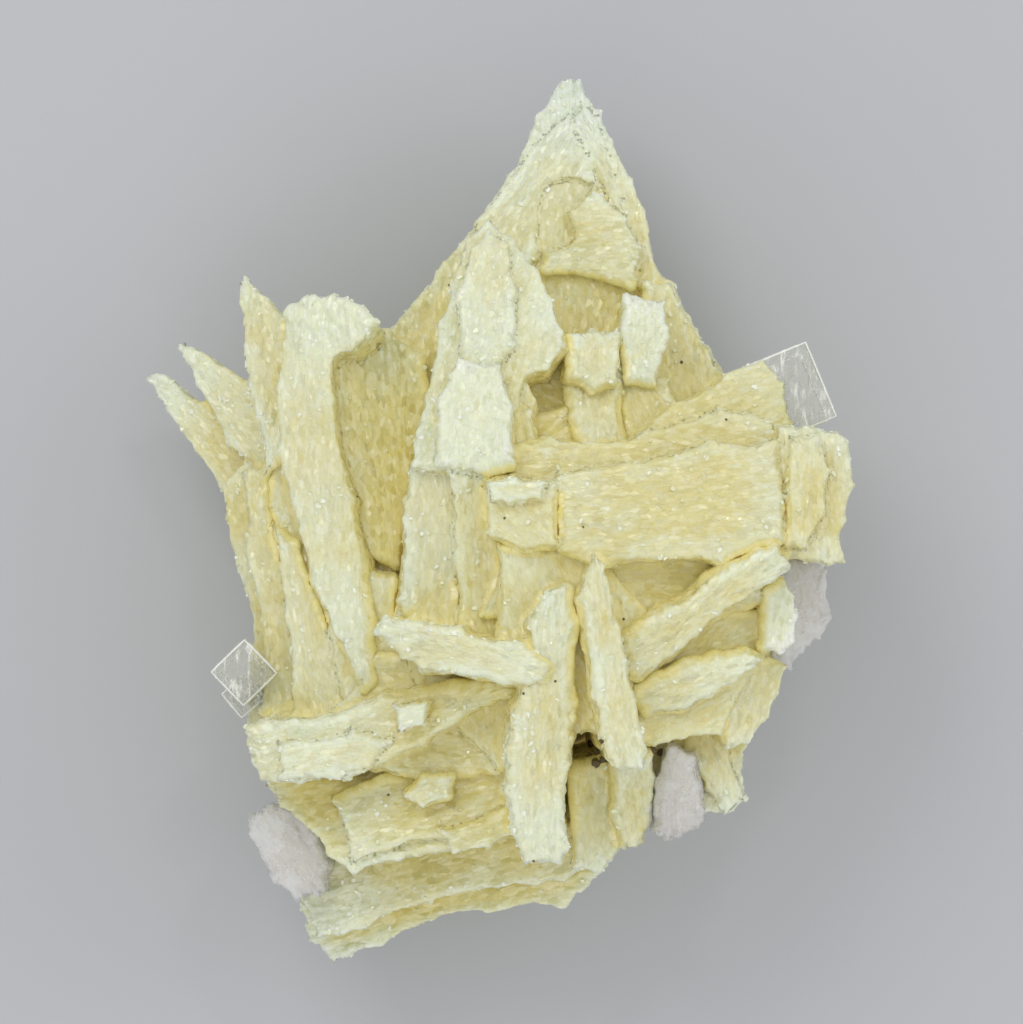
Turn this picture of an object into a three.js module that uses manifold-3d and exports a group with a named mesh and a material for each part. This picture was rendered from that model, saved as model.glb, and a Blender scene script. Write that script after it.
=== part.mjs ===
// Barite specimen: cream barite blades grown together in one mass, with fluorite crystals on its rim.
// Millimetres. It lies on the flat where it broke off its rock.
// +X runs to the right, +Y towards the long tip and +Z up.
import * as THREE from 'three';
import { mergeVertices } from 'three/addons/utils/BufferGeometryUtils.js';
import Module from 'manifold-3d';

const wasm = await Module();
wasm.setup();

// Driving dimensions
const HALF_WIDTH = 32;
const HALF_LENGTH = 40.3;
const GAP = 0.3;
const HEART = [0, -3];
const CHIP_SPACING = 3.7;
const CHIP_DEPTH = 0.55;
const LEAST_CHIP = 0.25;
const CHIP_SLIDE = 0.5;
const BEVEL = 0.55;
const BACK_SHRINK = 0.8;
const BACK_BEVEL = 0.7;
const MERGE_DISTANCE = 1e-4;

// The long tip: a thin back plate, two ribs on it, an overhanging tablet and the shoulder on its right
const LONG_TIP = [
  {
    rim: [
      [5.7, 40], [6.4, HALF_LENGTH], [7.2, 40], [9.1, 37.1], [10.2, 34.8], [12.1, 31], [13.4, 28.2],
      [13.6, 26.4], [14.3, 23], [15.8, 21.7], [17.3, 18.5], [19.1, 15.7], [20.5, 13.2], [18, 4],
      [2, 2], [-9.5, 8], [-10, 17.4], [-5.1, 23.6], [0.9, 31.5], [2.2, 33.5], [3.4, 36.9], [4.8, 38.7],
    ],
    front: 14.8, back: 8, slope: [0.05, -0.1], backSlope: [0, 0.12], root: [4, 6], shrink: 0.95, bevel: 0.7,
  },
  {
    rim: [
      [6.5, 37.2], [3, 34], [0.5, 30.5], [-2, 27.2], [-3.4, 22], [2, 21.5], [3.8, 23.8], [3.6, 27],
      [4.2, 30], [6, 31], [8.8, 30.6], [9, 33],
    ],
    front: 15.5, back: 9, slope: [0.08, -0.12], root: [4, 10], shrink: 0.97,
  },
  {
    rim: [
      [6.6, 35.6], [7.4, 38.4], [9, 36.6], [10, 34.4], [11.9, 30.6], [13.2, 28], [13.4, 26.2], [14, 23],
      [13.4, 20.8], [11.8, 22.6], [11.5, 26], [10.4, 28.4], [9, 31],
    ],
    front: 15.8, back: 9, slope: [-0.15, -0.14], root: [4, 10], shrink: 0.97,
  },
  {
    rim: [
      [4, 22.6], [12.1, 21.2], [13, 24.6], [11.5, 27.5], [8.6, 30], [6.4, 28], [7.1, 25.6], [4.7, 24.2],
    ],
    front: 17, back: 13.4, slope: [0.1, -0.2], backSlope: [0, -0.3], root: [8, 30], shrink: 0.92,
  },
  {
    rim: [[3.4, 22], [12.6, 21.5], [13.4, 16], [12.6, 6], [2, 6], [3, 16]],
    front: 16.5, back: 6, slope: [0.1, -0.12], root: HEART, shrink: 0.94,
  },
  {
    rim: [[13, 21.8], [15.6, 21.4], [17.1, 18.4], [18.9, 15.6], [20.3, 13], [19, 8], [13.4, 6], [13, 12]],
    front: 20, back: 7, slope: [-0.35, -0.2], root: HEART, shrink: 0.93,
  },
];

// The middle column: a steep blade in front of the long tip, with broad tablets and a leaf on its face
const MIDDLE_COLUMN = [
  {
    rim: [
      [-0.7, 27.2], [-2.7, 25.6], [-4.3, 21.3], [-4.5, 19.1], [-5.3, 18.2], [-5.7, 14.2], [-6.5, 11.4],
      [-7.2, 8.3], [-7.8, 4.9], [-1.1, 3.6], [1.1, 7.4], [2, 10.4], [2.4, 13], [4.4, 13.6], [6.1, 15.7],
      [5.8, 17.2], [4.9, 19.8], [3.6, 22.6], [1.2, 25.6],
    ],
    front: 28, back: 8, slope: [0.05, -0.42], root: HEART, shrink: 0.86,
  },
  {
    rim: [
      [-0.8, 26.6], [-2.4, 24.8], [-3.7, 20.4], [-3.4, 14.5], [-0.6, 13.2], [1.6, 16], [1.5, 21], [0.9, 25],
    ],
    front: 27.6, back: 20, slope: [-0.1, -0.4], root: HEART, shrink: 0.9,
  },
  {
    rim: [[-5.5, 11.2], [-3.6, 14.8], [0.2, 14.2], [1.3, 10.6], [1.3, 5.2], [-1.2, 4.4], [-5.8, 5]],
    front: 33.2, back: 22, slope: [-0.05, -0.12], root: HEART, shrink: 0.88, bevel: 0.7,
  },
  {
    rim: [[2.6, 12.6], [3.4, 11], [3.2, 8.4], [2.4, 7.6], [1.9, 9.6], [2.1, 11.8]],
    front: 28.5, back: 19, slope: [-0.1, -0.1], root: HEART, shrink: 0.8, bevel: 0.35,
  },
  {
    rim: [[-7.8, 5], [-4.4, 5.4], [-3.4, -2], [-3.2, -9], [-6, -12], [-8.9, -7], [-8.4, 0.2]],
    front: 30.4, back: 10, slope: [0.25, 0.02], root: HEART, shrink: 0.9,
  },
  {
    rim: [[-4.6, 5.4], [-1, 4.6], [-0.2, 0], [0.6, -4], [1, -8], [0.2, -11], [-3.8, -11], [-3.9, -3]],
    front: 32, back: 10, slope: [-0.2, 0.05], root: HEART, shrink: 0.9,
  },
];

// The left column: a round-topped blade, the yellow face beside it and three spikes that fan out to the left
const LEFT_COLUMN = [
  {
    rim: [
      [-19.3, 18.9], [-18.6, 19.8], [-17.2, 20.5], [-14.7, 20.8], [-12.2, 19.5], [-10.9, 18], [-11.8, 16.7],
      [-13, 15.4], [-14.8, 15], [-14.7, 11], [-14.1, 6.5], [-12.9, 2], [-12.1, -3.4], [-11.4, -8.8],
      [-11.2, -14.4], [-12.2, -15.2], [-14.6, -10.2], [-16.9, -5.2], [-18.7, 2], [-19.8, 6.5], [-20, 12],
    ],
    front: 25.8, back: 8, slope: [0.22, -0.06], root: HEART, shrink: 0.76, bevel: 0.7,
  },
  {
    rim: [
      [-15.4, 16], [-11.5, 17.4], [-10, 17.4], [-7, 15], [-6.2, 9], [-7, 2], [-9, -4], [-12.6, -2],
      [-14.6, 6],
    ],
    front: 22.5, back: 6, slope: [-0.45, -0.2], root: HEART, shrink: 0.8,
  },
  {
    rim: [
      [-22.6, 12.6], [-23.1, 17.8], [-23.7, 21.8], [-22.9, 22.5], [-20.9, 20.3], [-19.2, 18.4], [-17.5, 8],
      [-21, 4],
    ],
    front: 20, back: 14, slope: [0.35, -0.2], backSlope: [-0.1, 0.2], root: HEART, shrink: 0.94,
  },
  {
    rim: [
      [-28.8, 16.3], [-29.3, 15.8], [-27.7, 13.5], [-27.3, 12.4], [-26.3, 11], [-24.6, 7], [-20, 3],
      [-17.5, 8], [-22.4, 12.5], [-24.7, 14], [-26.5, 15.3],
    ],
    front: 16.5, back: 10.5, slope: [0.4, -0.15], backSlope: [-0.3, 0], root: HEART, shrink: 0.95,
  },
  {
    rim: [
      [-HALF_WIDTH, 13.2], [-31.4, 13.6], [-30.2, 13.3], [-28.8, 12], [-26.3, 10.7], [-22, 8], [-17, 2],
      [-22, -2], [-25.1, 3.2], [-27.4, 6.3], [-30, 10], [-31, 11.5],
    ],
    front: 13.6, back: 8, slope: [0.28, -0.12], backSlope: [-0.2, 0], root: HEART, shrink: 0.95,
  },
  {
    rim: [[-20.8, 8.5], [-17.6, 8], [-15, 0], [-13.4, -9], [-15.4, -12], [-18.6, -5], [-20.6, 1.5]],
    front: 22.6, back: 12, slope: [0.3, -0.12], root: HEART, shrink: 0.92,
  },
];

// The left flank: long upright fibres side by side behind a thin ragged rim
const LEFT_FLANK = [
  {
    rim: [
      [-25.2, 3.4], [-24.8, 0.4], [-24.3, -2.1], [-23.8, -4.4], [-22.3, -8.4], [-22.5, -11.5], [-22.9, -15],
      [-22.7, -18.4], [-14, -20], [-8, -14], [-9, 0], [-16, 6], [-22, 7],
    ],
    front: 19.5, back: 6, slope: [0.42, 0], root: HEART, shrink: 0.62,
  },
  {
    rim: [
      [-23.2, 4.6], [-20.8, 5], [-19.4, -4], [-17.6, -13], [-18.6, -18], [-21.6, -17], [-21.4, -9],
      [-22.8, -3],
    ],
    front: 21.4, back: 12, slope: [0.2, -0.02], root: HEART, shrink: 0.95,
  },
  {
    rim: [[-20.4, 0], [-18.2, -2], [-15.6, -9], [-13.2, -13.4], [-14.2, -18], [-18.4, -18.4], [-19, -9]],
    front: 24.4, back: 12, slope: [0.25, -0.04], root: HEART, shrink: 0.95,
  },
  {
    rim: [[-15.4, -7.4], [-12.6, -4], [-9.4, -5], [-8.6, -11], [-9.6, -15.4], [-13.6, -17], [-14.8, -12]],
    front: 26.2, back: 12, slope: [0.18, -0.03], root: HEART, shrink: 0.95,
  },
];

// The great cross blade: a thick slab that lies across the right half, with its end tablets and ledge
const CROSS_BLADE = [
  {
    rim: [
      [1.2, 6.5], [4.7, 7.7], [8.6, 7.2], [11, 7.3], [13.2, 8.2], [16.1, 8.8], [19.9, 10.2], [22.6, 9.6],
      [25.6, 8.4], [26, 3], [25.7, -1.8], [19.9, -3.4], [14, -3.2], [9.6, -3.4], [5.5, -2.6], [1.6, -2.2],
    ],
    front: 31.4, back: 16, slope: [-0.04, -0.28], backSlope: [-0.2, -0.55], root: [2, 2], shrink: 0.82,
  },
  {
    rim: [
      [5.2, 4.4], [9, 5], [14, 5.6], [19, 7.2], [24.9, 7.2], [25.3, 2.4], [25.5, -1.8], [19.9, -3.6],
      [14, -3.4], [9.6, -3.7], [5.6, -2.6],
    ],
    front: 34.4, back: 24, slope: [-0.04, -0.16], backSlope: [0, -0.6], root: [12, 6], shrink: 0.94,
    bevel: 0.75,
  },
  {
    rim: [[-1.3, 3.7], [1.6, 4], [5.4, 3.6], [5.4, -2.2], [2.2, -2.6], [-0.9, -1.2]],
    front: 35.2, back: 24, slope: [0.05, -0.1], root: [4, 6], shrink: 0.86, bevel: 0.7,
  },
  {
    rim: [[-1.1, 3.6], [1.4, 3.9], [4.2, 3.5], [3.8, 2.1], [1, 1.8], [-0.5, 2]],
    front: 36.4, back: 30, slope: [0, -0.1], root: [4, 6], shrink: 0.9, bevel: 0.4,
  },
  {
    rim: [
      [25, 8.6], [28, 8.5], [30.4, 8.2], [31.2, 7.2], [HALF_WIDTH, 3.2], [31.1, 1.7], [31.1, 0.2],
      [30.5, -1.1], [31.1, -3.6], [29.5, -3.8], [27.5, -3.2], [25.4, -3.4], [24.4, 2],
    ],
    front: 31.8, back: 19, slope: [-0.3, -0.06], backSlope: [0.2, -0.2], root: [10, 2], shrink: 0.93,
  },
  {
    rim: [[26, 7.6], [28.6, 7.8], [29.6, 4.6], [29.2, 0.8], [27.4, -2.4], [26, -2], [25.9, 3]],
    front: 33.2, back: 24, slope: [-0.2, -0.06], root: [10, 2], shrink: 0.94, bevel: 0.5,
  },
  {
    rim: [[12.4, 8], [15.6, 10.6], [20.5, 13.3], [23.8, 14.8], [25.6, 12.4], [26.4, 8.6], [20, 7], [14, 6]],
    front: 27.6, back: 15, slope: [-0.05, -0.36], backSlope: [0.1, 0], root: [8, 2], shrink: 0.92,
  },
];

// The pale tablet and the stubs beside it, between the cross blade and the long tip
const PALE_TABLETS = [
  {
    rim: [[6.3, 17], [11, 17.2], [11.2, 13.2], [10.6, 10], [11.4, 6.8], [7.6, 6.4], [6.6, 9.4], [6.2, 13]],
    front: 25.6, back: 10, slope: [-0.1, -0.3], root: HEART, shrink: 0.9, bevel: 0.7,
  },
  {
    rim: [[6.3, 16.9], [8.6, 17.3], [11, 17], [10.6, 12.6], [8.4, 11.8], [6.5, 13]],
    front: 26.8, back: 19, slope: [-0.1, -0.2], root: HEART, shrink: 0.92, bevel: 0.6,
  },
  {
    rim: [[11.4, 20.4], [15, 20], [15.4, 16.6], [14, 12.4], [11.6, 12.8], [11, 16]],
    front: 24.4, back: 12, slope: [0, -0.25], root: HEART, shrink: 0.92, bevel: 0.6,
  },
  {
    rim: [[10.6, 13], [15.4, 13], [16.4, 8], [11.4, 6.6]],
    front: 24.6, back: 8, slope: [0, -0.2], root: HEART, shrink: 0.92,
  },
  {
    rim: [[2.4, 9], [6.8, 10.4], [8, 6], [2.4, 5]],
    front: 25.6, back: 8, slope: [0.1, 0], root: HEART, shrink: 0.95,
  },
];

// The right fan: four thin blades seen on edge, the glassy face they rise from and the broad lower flank
const RIGHT_FAN = [
  {
    rim: [[4.5, -1], [24, -1], [25, -4.4], [23.8, -7], [16, -10.6], [11, -11], [6, -7]],
    front: 31.4, back: 7, slope: [-0.12, 0.12], root: HEART, shrink: 0.66,
  },
  {
    rim: [
      [12, -13], [18, -8], [24.4, -8], [25.6, -12.6], [25.2, -15.4], [24.3, -17.6], [22.7, -19.8],
      [22.2, -22.1], [22.5, -25], [21.2, -26.2], [18.2, -26.5], [14.6, -24], [10, -23], [8, -16],
    ],
    front: 25, back: 5, slope: [-0.2, 0.12], root: HEART, shrink: 0.6,
  },
  {
    rim: [
      [21.4, -11.8], [25.9, -12.8], [25.3, -15.4], [24.3, -17.6], [22.7, -19.8], [20.4, -20.4],
      [20.2, -15.4],
    ],
    front: 27.6, back: 15, slope: [-0.35, 0], root: HEART, shrink: 0.84,
  },
  {
    rim: [[16.6, -17], [20.6, -15.6], [20.8, -21], [22.2, -24.6], [20.4, -26.4], [18.6, -24], [17, -20.6]],
    front: 24.8, back: 14, slope: [-0.2, 0.06], root: HEART, shrink: 0.9,
  },
  {
    rim: [
      [4.4, -6.2], [2.6, -9], [2.2, -14.7], [1.3, -17], [0.8, -19.9], [0.7, -24], [1.2, -27.2], [2.5, -30.5],
      [5.6, -30.5], [6.2, -29], [6.5, -21.7], [6.8, -16.2], [7, -8.9], [6.2, -5.6],
    ],
    front: 36.4, back: 10, slope: [-0.1, 0.1], root: HEART, shrink: 0.82, bevel: 0.9,
  },
  {
    rim: [
      [8.6, -2.7], [7.7, -4.8], [7.2, -6.9], [7.9, -10.5], [8.5, -15.4], [9, -18.5], [9.8, -21.1],
      [10.5, -22.1], [13, -22.1], [13.4, -20.5], [12.9, -18.5], [12.3, -15.4], [11.6, -12.3], [10.9, -9.4],
      [10.4, -6.7], [9.5, -3.8],
    ],
    front: 38, back: 11, slope: [-0.08, 0.04], root: HEART, shrink: 0.82, bevel: 0.9,
  },
  {
    rim: [
      [10.6, -10.4], [12.7, -9], [14.9, -7.4], [16.9, -6.7], [18.7, -5], [20.7, -3.7], [23, -2.5],
      [24.9, -2], [25.7, -3.2], [26.2, -4.2], [24.6, -5.3], [22.1, -6.9], [19.8, -8.3], [17.8, -10.1],
      [15.6, -11.9], [12.7, -13.8], [11, -13.4],
    ],
    front: 34.6, back: 12, slope: [0, 0.12], root: [4, -4], shrink: 0.84, bevel: 0.9,
  },
  {
    rim: [
      [11.8, -15.2], [14.1, -13.8], [16.7, -12.6], [19.4, -11.9], [22.1, -11.5], [24, -12.2], [22.7, -13],
      [21.1, -14.4], [19.1, -15.6], [16.7, -16.7], [13.6, -17.2],
    ],
    front: 32, back: 12, slope: [-0.12, 0.1], root: [4, -6], shrink: 0.86, bevel: 0.8,
  },
  {
    rim: [[24, -6], [25.4, -5.2], [26.7, -6.6], [26.9, -8.4], [26.6, -10.6], [25.5, -11.7], [23.8, -11.2]],
    front: 31, back: 17, slope: [0.1, 0], root: HEART, shrink: 0.86, bevel: 0.6,
  },
  {
    rim: [[2.4, -1.4], [4.7, -1.6], [4, -5], [2.4, -8.3], [-1.5, -8.2], [0.2, -5]],
    front: 33.2, back: 20, slope: [0.05, 0.08], root: HEART, shrink: 0.86, bevel: 0.5,
  },
  {
    rim: [
      [10.4, -20.6], [13.8, -20.8], [14.2, -23], [13.6, -26.9], [13.2, -28.9], [11.2, -29.6],
      [10.4, -26],
    ],
    front: 27.6, back: 8, slope: [0, 0.3], root: HEART, shrink: 0.78,
  },
];

// The lower shingles: plates that step back and down towards the lower left
const LOWER_SHINGLES = [
  {
    rim: [
      [-11.1, -9.8], [-10.3, -8.3], [-6.9, -8.8], [-3.2, -9.2], [-2.2, -10.1], [2.3, -10.6], [4.7, -12.7],
      [4.2, -14.2], [2.8, -14.5], [0.5, -14.4], [-3.6, -13.5], [-6.9, -13.3], [-8.7, -12], [-9.8, -10.9],
    ],
    front: 37.6, back: 18, slope: [0.06, 0.1], root: [2, -12], shrink: 0.78, bevel: 0.9,
  },
  {
    rim: [
      [-20.6, -17.6], [-15.5, -17.4], [-10.4, -15.4], [-4, -14.5], [0.2, -14], [2.2, -15.2], [-0.7, -16],
      [-3.3, -17.6], [-6.5, -19.8], [-10.4, -21.5], [-13.6, -23.1], [-14.6, -22.7], [-17.7, -23.5],
      [-20, -23.2], [-21.2, -23.1], [-22.1, -21.5], [-22.7, -18.4],
    ],
    front: 31, back: 12, slope: [0.2, -0.14], backSlope: [0, -0.5], root: [0, -8], shrink: 0.88, bevel: 0.9,
  },
  {
    rim: [[-19.6, -19.6], [-13, -18.6], [-9.4, -19.4], [-11.6, -21.8], [-14.4, -22.6], [-19.4, -23]],
    front: 31.2, back: 22, slope: [0.14, -0.1], root: [0, -8], shrink: 0.95, bevel: 0.5,
  },
  {
    rim: [[-9.4, -16.4], [-6.2, -16], [-6.6, -18], [-8.8, -18.8]],
    front: 34, back: 25, slope: [0.14, 0], root: [0, -8], shrink: 0.95, bevel: 0.35,
  },
  {
    rim: [
      [-21.2, -23.6], [-19.6, -25.7], [-17.1, -27.6], [-15.4, -30], [-13, -31.9], [-11.3, -30.9],
      [-7.1, -30.1], [-4, -29.5], [-0.7, -29.1], [1.2, -27.9], [3.6, -24], [2, -18], [-6, -17], [-16, -20],
    ],
    front: 24, back: 7, slope: [0.16, -0.42], backSlope: [0, -0.5], root: [0, -8], shrink: 0.68, bevel: 0.9,
  },
  {
    rim: [
      [-15, -25], [-10, -23], [-3, -21.6], [1.2, -22], [1.2, -26.6], [-4, -28.4], [-10, -29.4],
      [-13, -30.6],
    ],
    front: 26.6, back: 16, slope: [0.08, -0.3], root: [0, -8], shrink: 0.94, bevel: 0.6,
  },
  {
    rim: [[-8.5, -24.6], [-6.6, -22.9], [-3.8, -22.6], [-4.4, -24.6], [-6.8, -25.6]],
    front: 28.2, back: 20, slope: [0.1, -0.2], root: [0, -8], shrink: 0.9, bevel: 0.4,
  },
  {
    rim: [[-5.2, -27.6], [0.8, -25.6], [1.3, -27.8], [-0.7, -29.2], [-4, -29.6]],
    front: 28.6, back: 20, slope: [0.06, -0.2], root: [0, -8], shrink: 0.92, bevel: 0.4,
  },
  {
    rim: [
      [-18.2, -34.2], [-17.3, -38.2], [-16.1, -38.8], [-15, -HALF_LENGTH], [-14, -39.6], [-10.6, -38.4],
      [-7.1, -36.5], [-3.3, -35.2], [-0.9, -35.5], [2.5, -34.6], [6, -35], [7.9, -33.3], [9.3, -31.7],
      [11, -29.6], [9.6, -24], [2, -24], [-12, -26], [-17.4, -29.5],
    ],
    front: 17, back: 6, slope: [0.2, -0.1], backSlope: [0.1, -0.35], root: [0, -10], shrink: 0.78, bevel: 0.9,
  },
  {
    rim: [
      [-17.6, -34], [-16.4, -37.6], [-12, -36.8], [-6, -34.2], [0, -33], [6, -32.4], [9, -30.4], [9, -25],
      [-4, -26], [-14, -29],
    ],
    front: 20.4, back: 12, slope: [0.22, -0.06], root: [0, -10], shrink: 0.92, bevel: 0.6,
  },
  {
    rim: [[6.4, -22], [9.6, -21], [10.6, -25], [10.8, -29.4], [9.2, -31.6], [6.8, -31]],
    front: 25.6, back: 14, slope: [-0.1, 0.2], root: HEART, shrink: 0.9,
  },
];

// The broken heart of the mass, wide enough to lie on
const BROKEN_BACK = [
  {
    rim: [
      [-13, 8.5], [-7, 13.5], [2, 12.5], [6, 14.5], [12, 10], [15.5, 3], [14.5, -4], [17, -10], [12.5, -17],
      [5, -21.5], [-2, -20], [-9, -23], [-14.5, -16], [-16.5, -7], [-13.5, 0],
    ],
    front: 17, back: -1, root: HEART, shrink: 0.84, bevel: 0.8,
  },
];

// The mass that fills the gaps between the blades near the heart, some millimetres below their edges
const INNER_MASS = [
  {
    rim: [
      [-6, 8], [-2, 13], [3, 10], [5, 2], [4, -8], [5, -20], [0, -22], [-6, -17], [-9.5, -10], [-8.4, 2],
    ],
    front: 29, back: 12, slope: [0.15, 0], root: HEART, shrink: 0.9,
  },
  {
    rim: [[0, -2], [9, -3], [13, -8], [12, -16], [9, -18.6], [5, -19], [0, -12]],
    front: 33.6, back: 14, slope: [-0.1, 0], root: HEART, shrink: 0.9,
  },
  {
    rim: [[-15, -17], [-11, -12], [-6, -11.6], [2, -14], [3, -22], [-6, -23], [-14, -22]],
    front: 27.6, back: 12, slope: [0.12, 0.05], root: HEART, shrink: 0.9,
  },
  {
    rim: [[9, -10], [20, -7.6], [24, -8.4], [24, -12], [20, -19], [14, -20], [10, -18]],
    front: 30.2, back: 12, slope: [-0.18, 0.05], root: HEART, shrink: 0.9,
  },
  {
    rim: [[1.5, 13.5], [4.5, 17], [12, 17], [15, 13], [15, 6], [4, 6]],
    front: 23.2, back: 8, slope: [0, -0.25], root: HEART, shrink: 0.9,
  },
];

// Blades on the hidden back, spread round the flat: angle, reach, half width, lowest and highest point.
// Wide low ones lie flat, narrow tall ones stand on edge between them, and some are broken off with the back
const BACK_BLADES = [
  [8, 25, 5.5, 6, 12], [26, 23, 2.2, -1, 19], [44, 22.5, 5, 3, 9.5], [62, 20, 2.4, -1, 16], [80, 31, 6.5, 2, 7.5],
  [104, 20, 2.1, 3, 15], [124, 20, 4.4, -1, 11.5], [146, 23, 2, 5, 17], [166, 22, 5.4, 2.5, 9.5],
  [186, 21.5, 2.4, -1, 18], [206, 22, 5.6, 6, 12.5], [226, 24, 2.4, -1, 14], [246, 26, 5.6, 4.5, 10],
  [268, 26, 2.4, -1, 15], [288, 25.5, 5.4, 5, 11.5], [306, 25, 2.4, -1, 18], [324, 24.5, 5.4, 4, 10.5],
  [346, 24, 2.1, 3.5, 17],
];

const ALL_BLADES = [
  ...BROKEN_BACK, ...LONG_TIP, ...MIDDLE_COLUMN, ...LEFT_COLUMN, ...LEFT_FLANK, ...CROSS_BLADE,
  ...PALE_TABLETS, ...RIGHT_FAN, ...LOWER_SHINGLES, ...backBlades(), ...INNER_MASS,
];

// A number from 0 to 1 that stays the same for the same blade and point
function scatter(blade, point) {
  const wave = Math.sin(blade * 12.9898 + point * 78.233) * 43758.5453;
  return wave - Math.floor(wave);
}

// Rims of the blades on the hidden back: flat lozenges with a blunt outer end
function backBlades() {
  return BACK_BLADES.map(([degrees, reach, half, low, high]) => {
    const turn = THREE.MathUtils.degToRad(degrees);
    const along = new THREE.Vector2(Math.cos(turn), Math.sin(turn));
    const across = new THREE.Vector2(-along.y, along.x);
    const corners = [
      [5, half], [reach - 3.5, half * 0.85], [reach, half * 0.3], [reach - 0.8, -half * 0.6], [5, -half],
    ];
    const rim = corners.map(([out, side]) => [
      HEART[0] + along.x * out + across.x * side,
      HEART[1] + along.y * out + across.y * side,
    ]);
    return { rim, front: high, back: low, root: HEART, shrink: BACK_SHRINK, bevel: BACK_BEVEL };
  });
}

// A rim with small growth chips cut into its long edges; its corners stay where they are
function chippedRim(rim, number) {
  const corners = rim.map(([x, y]) => new THREE.Vector2(x, y));
  if (THREE.ShapeUtils.isClockWise(corners)) corners.reverse();
  const points = [];
  corners.forEach((start, index) => {
    const end = corners[(index + 1) % corners.length];
    const edge = end.clone().sub(start);
    const inward = new THREE.Vector2(-edge.y, edge.x).normalize();
    const pieces = Math.max(1, Math.round(edge.length() / CHIP_SPACING));
    points.push(start);
    for (let piece = 1; piece < pieces; piece += 1) {
      const slide = (scatter(number, index + piece * 31) - 0.5) * CHIP_SLIDE;
      const chip = LEAST_CHIP + (1 - LEAST_CHIP) * scatter(number + 0.5, index + piece * 17);
      const point = start.clone().addScaledVector(edge, (piece + slide) / pieces);
      points.push(point.addScaledVector(inward, CHIP_DEPTH * chip));
    }
  });
  return points;
}

// The long direction of an outline, and how far it reaches along and across that direction
function outlineFrame(points) {
  const middle = new THREE.Box2().setFromPoints(points).getCenter(new THREE.Vector2());
  let spreadX = 0;
  let spreadY = 0;
  let spreadXY = 0;
  points.forEach((point) => {
    const away = point.clone().sub(middle);
    spreadX += away.x * away.x;
    spreadY += away.y * away.y;
    spreadXY += away.x * away.y;
  });
  const turn = 0.5 * Math.atan2(2 * spreadXY, spreadX - spreadY);
  const along = new THREE.Vector2(Math.cos(turn), Math.sin(turn));
  const across = new THREE.Vector2(-along.y, along.x);
  const reach = (axis) => Math.max(
    ...points.map((point) => Math.abs(point.clone().sub(middle).dot(axis))),
  );
  return { middle, along, across, length: reach(along), width: reach(across) };
}

// One tabular crystal: a full rim under a bevelled face, with walls that lean in towards its root
function tablet(blade, number, grow = 0) {
  const { rim, front, back, slope = [0, 0], backSlope = [0, 0], root, shrink = 1, bevel = BEVEL } = blade;
  const points = chippedRim(rim, number);
  const frame = outlineFrame(points);
  const thickness = front - back + 2 * grow;
  const geometry = new THREE.ExtrudeGeometry(new THREE.Shape(points), {
    depth: 1, steps: 2, bevelEnabled: false,
  });
  const position = geometry.attributes.position;
  for (let index = 0; index < position.count; index += 1) {
    const level = Math.round(2 * position.getZ(index));
    const inset = level === 2 ? grow - bevel : grow;
    const away = new THREE.Vector2(position.getX(index), position.getY(index)).sub(frame.middle);
    const point = frame.middle.clone()
      .addScaledVector(frame.along, away.dot(frame.along) * (1 + inset / frame.length))
      .addScaledVector(frame.across, away.dot(frame.across) * (1 + inset / frame.width));
    const rise = [0, 1 - bevel / thickness, 1][level];
    const top = front + grow + slope[0] * away.x + slope[1] * away.y;
    const bottom = back - grow + backSlope[0] * away.x + backSlope[1] * away.y;
    const spread = shrink + (1 - shrink) * rise;
    position.setXYZ(
      index,
      root[0] + (point.x - root[0]) * spread,
      root[1] + (point.y - root[1]) * spread,
      bottom + (top - bottom) * rise,
    );
  }
  return solidOf(geometry);
}

// A closed geometry as a solid that can be joined and cut
function solidOf(geometry) {
  const bare = geometry.index ? geometry.toNonIndexed() : geometry.clone();
  bare.deleteAttribute('normal');
  bare.deleteAttribute('uv');
  const merged = mergeVertices(bare, MERGE_DISTANCE);
  return new wasm.Manifold(new wasm.Mesh({
    numProp: 3,
    vertProperties: new Float32Array(merged.attributes.position.array),
    triVerts: new Uint32Array(merged.index.array),
  }));
}

// A solid as a geometry again. Only its outer skin is kept, so a pocket closed in between blades is solid
function geometryOf(solid) {
  const { vertProperties, triVerts } = solid.getMesh();
  const bare = new THREE.BufferGeometry();
  bare.setAttribute('position', new THREE.Float32BufferAttribute(vertProperties, 3));
  bare.setIndex(new THREE.Uint32BufferAttribute(triVerts, 1));
  const geometry = mergeVertices(bare, MERGE_DISTANCE);
  const corners = geometry.index.array;
  const leader = Array.from({ length: geometry.attributes.position.count }, (_, vertex) => vertex);
  const leaderOf = (vertex) => {
    let found = vertex;
    while (leader[found] !== found) found = leader[found];
    leader[vertex] = found;
    return found;
  };
  for (let start = 0; start < corners.length; start += 3) {
    leader[leaderOf(corners[start + 1])] = leaderOf(corners[start]);
    leader[leaderOf(corners[start + 2])] = leaderOf(corners[start]);
  }
  const skins = new Map();
  for (let start = 0; start < corners.length; start += 3) {
    const skin = leaderOf(corners[start]);
    if (!skins.has(skin)) skins.set(skin, []);
    skins.get(skin).push(corners[start], corners[start + 1], corners[start + 2]);
  }
  const outer = [...skins.values()].reduce((widest, skin) => (skin.length > widest.length ? skin : widest));
  geometry.setIndex(outer);
  geometry.computeVertexNormals();
  return geometry;
}

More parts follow.
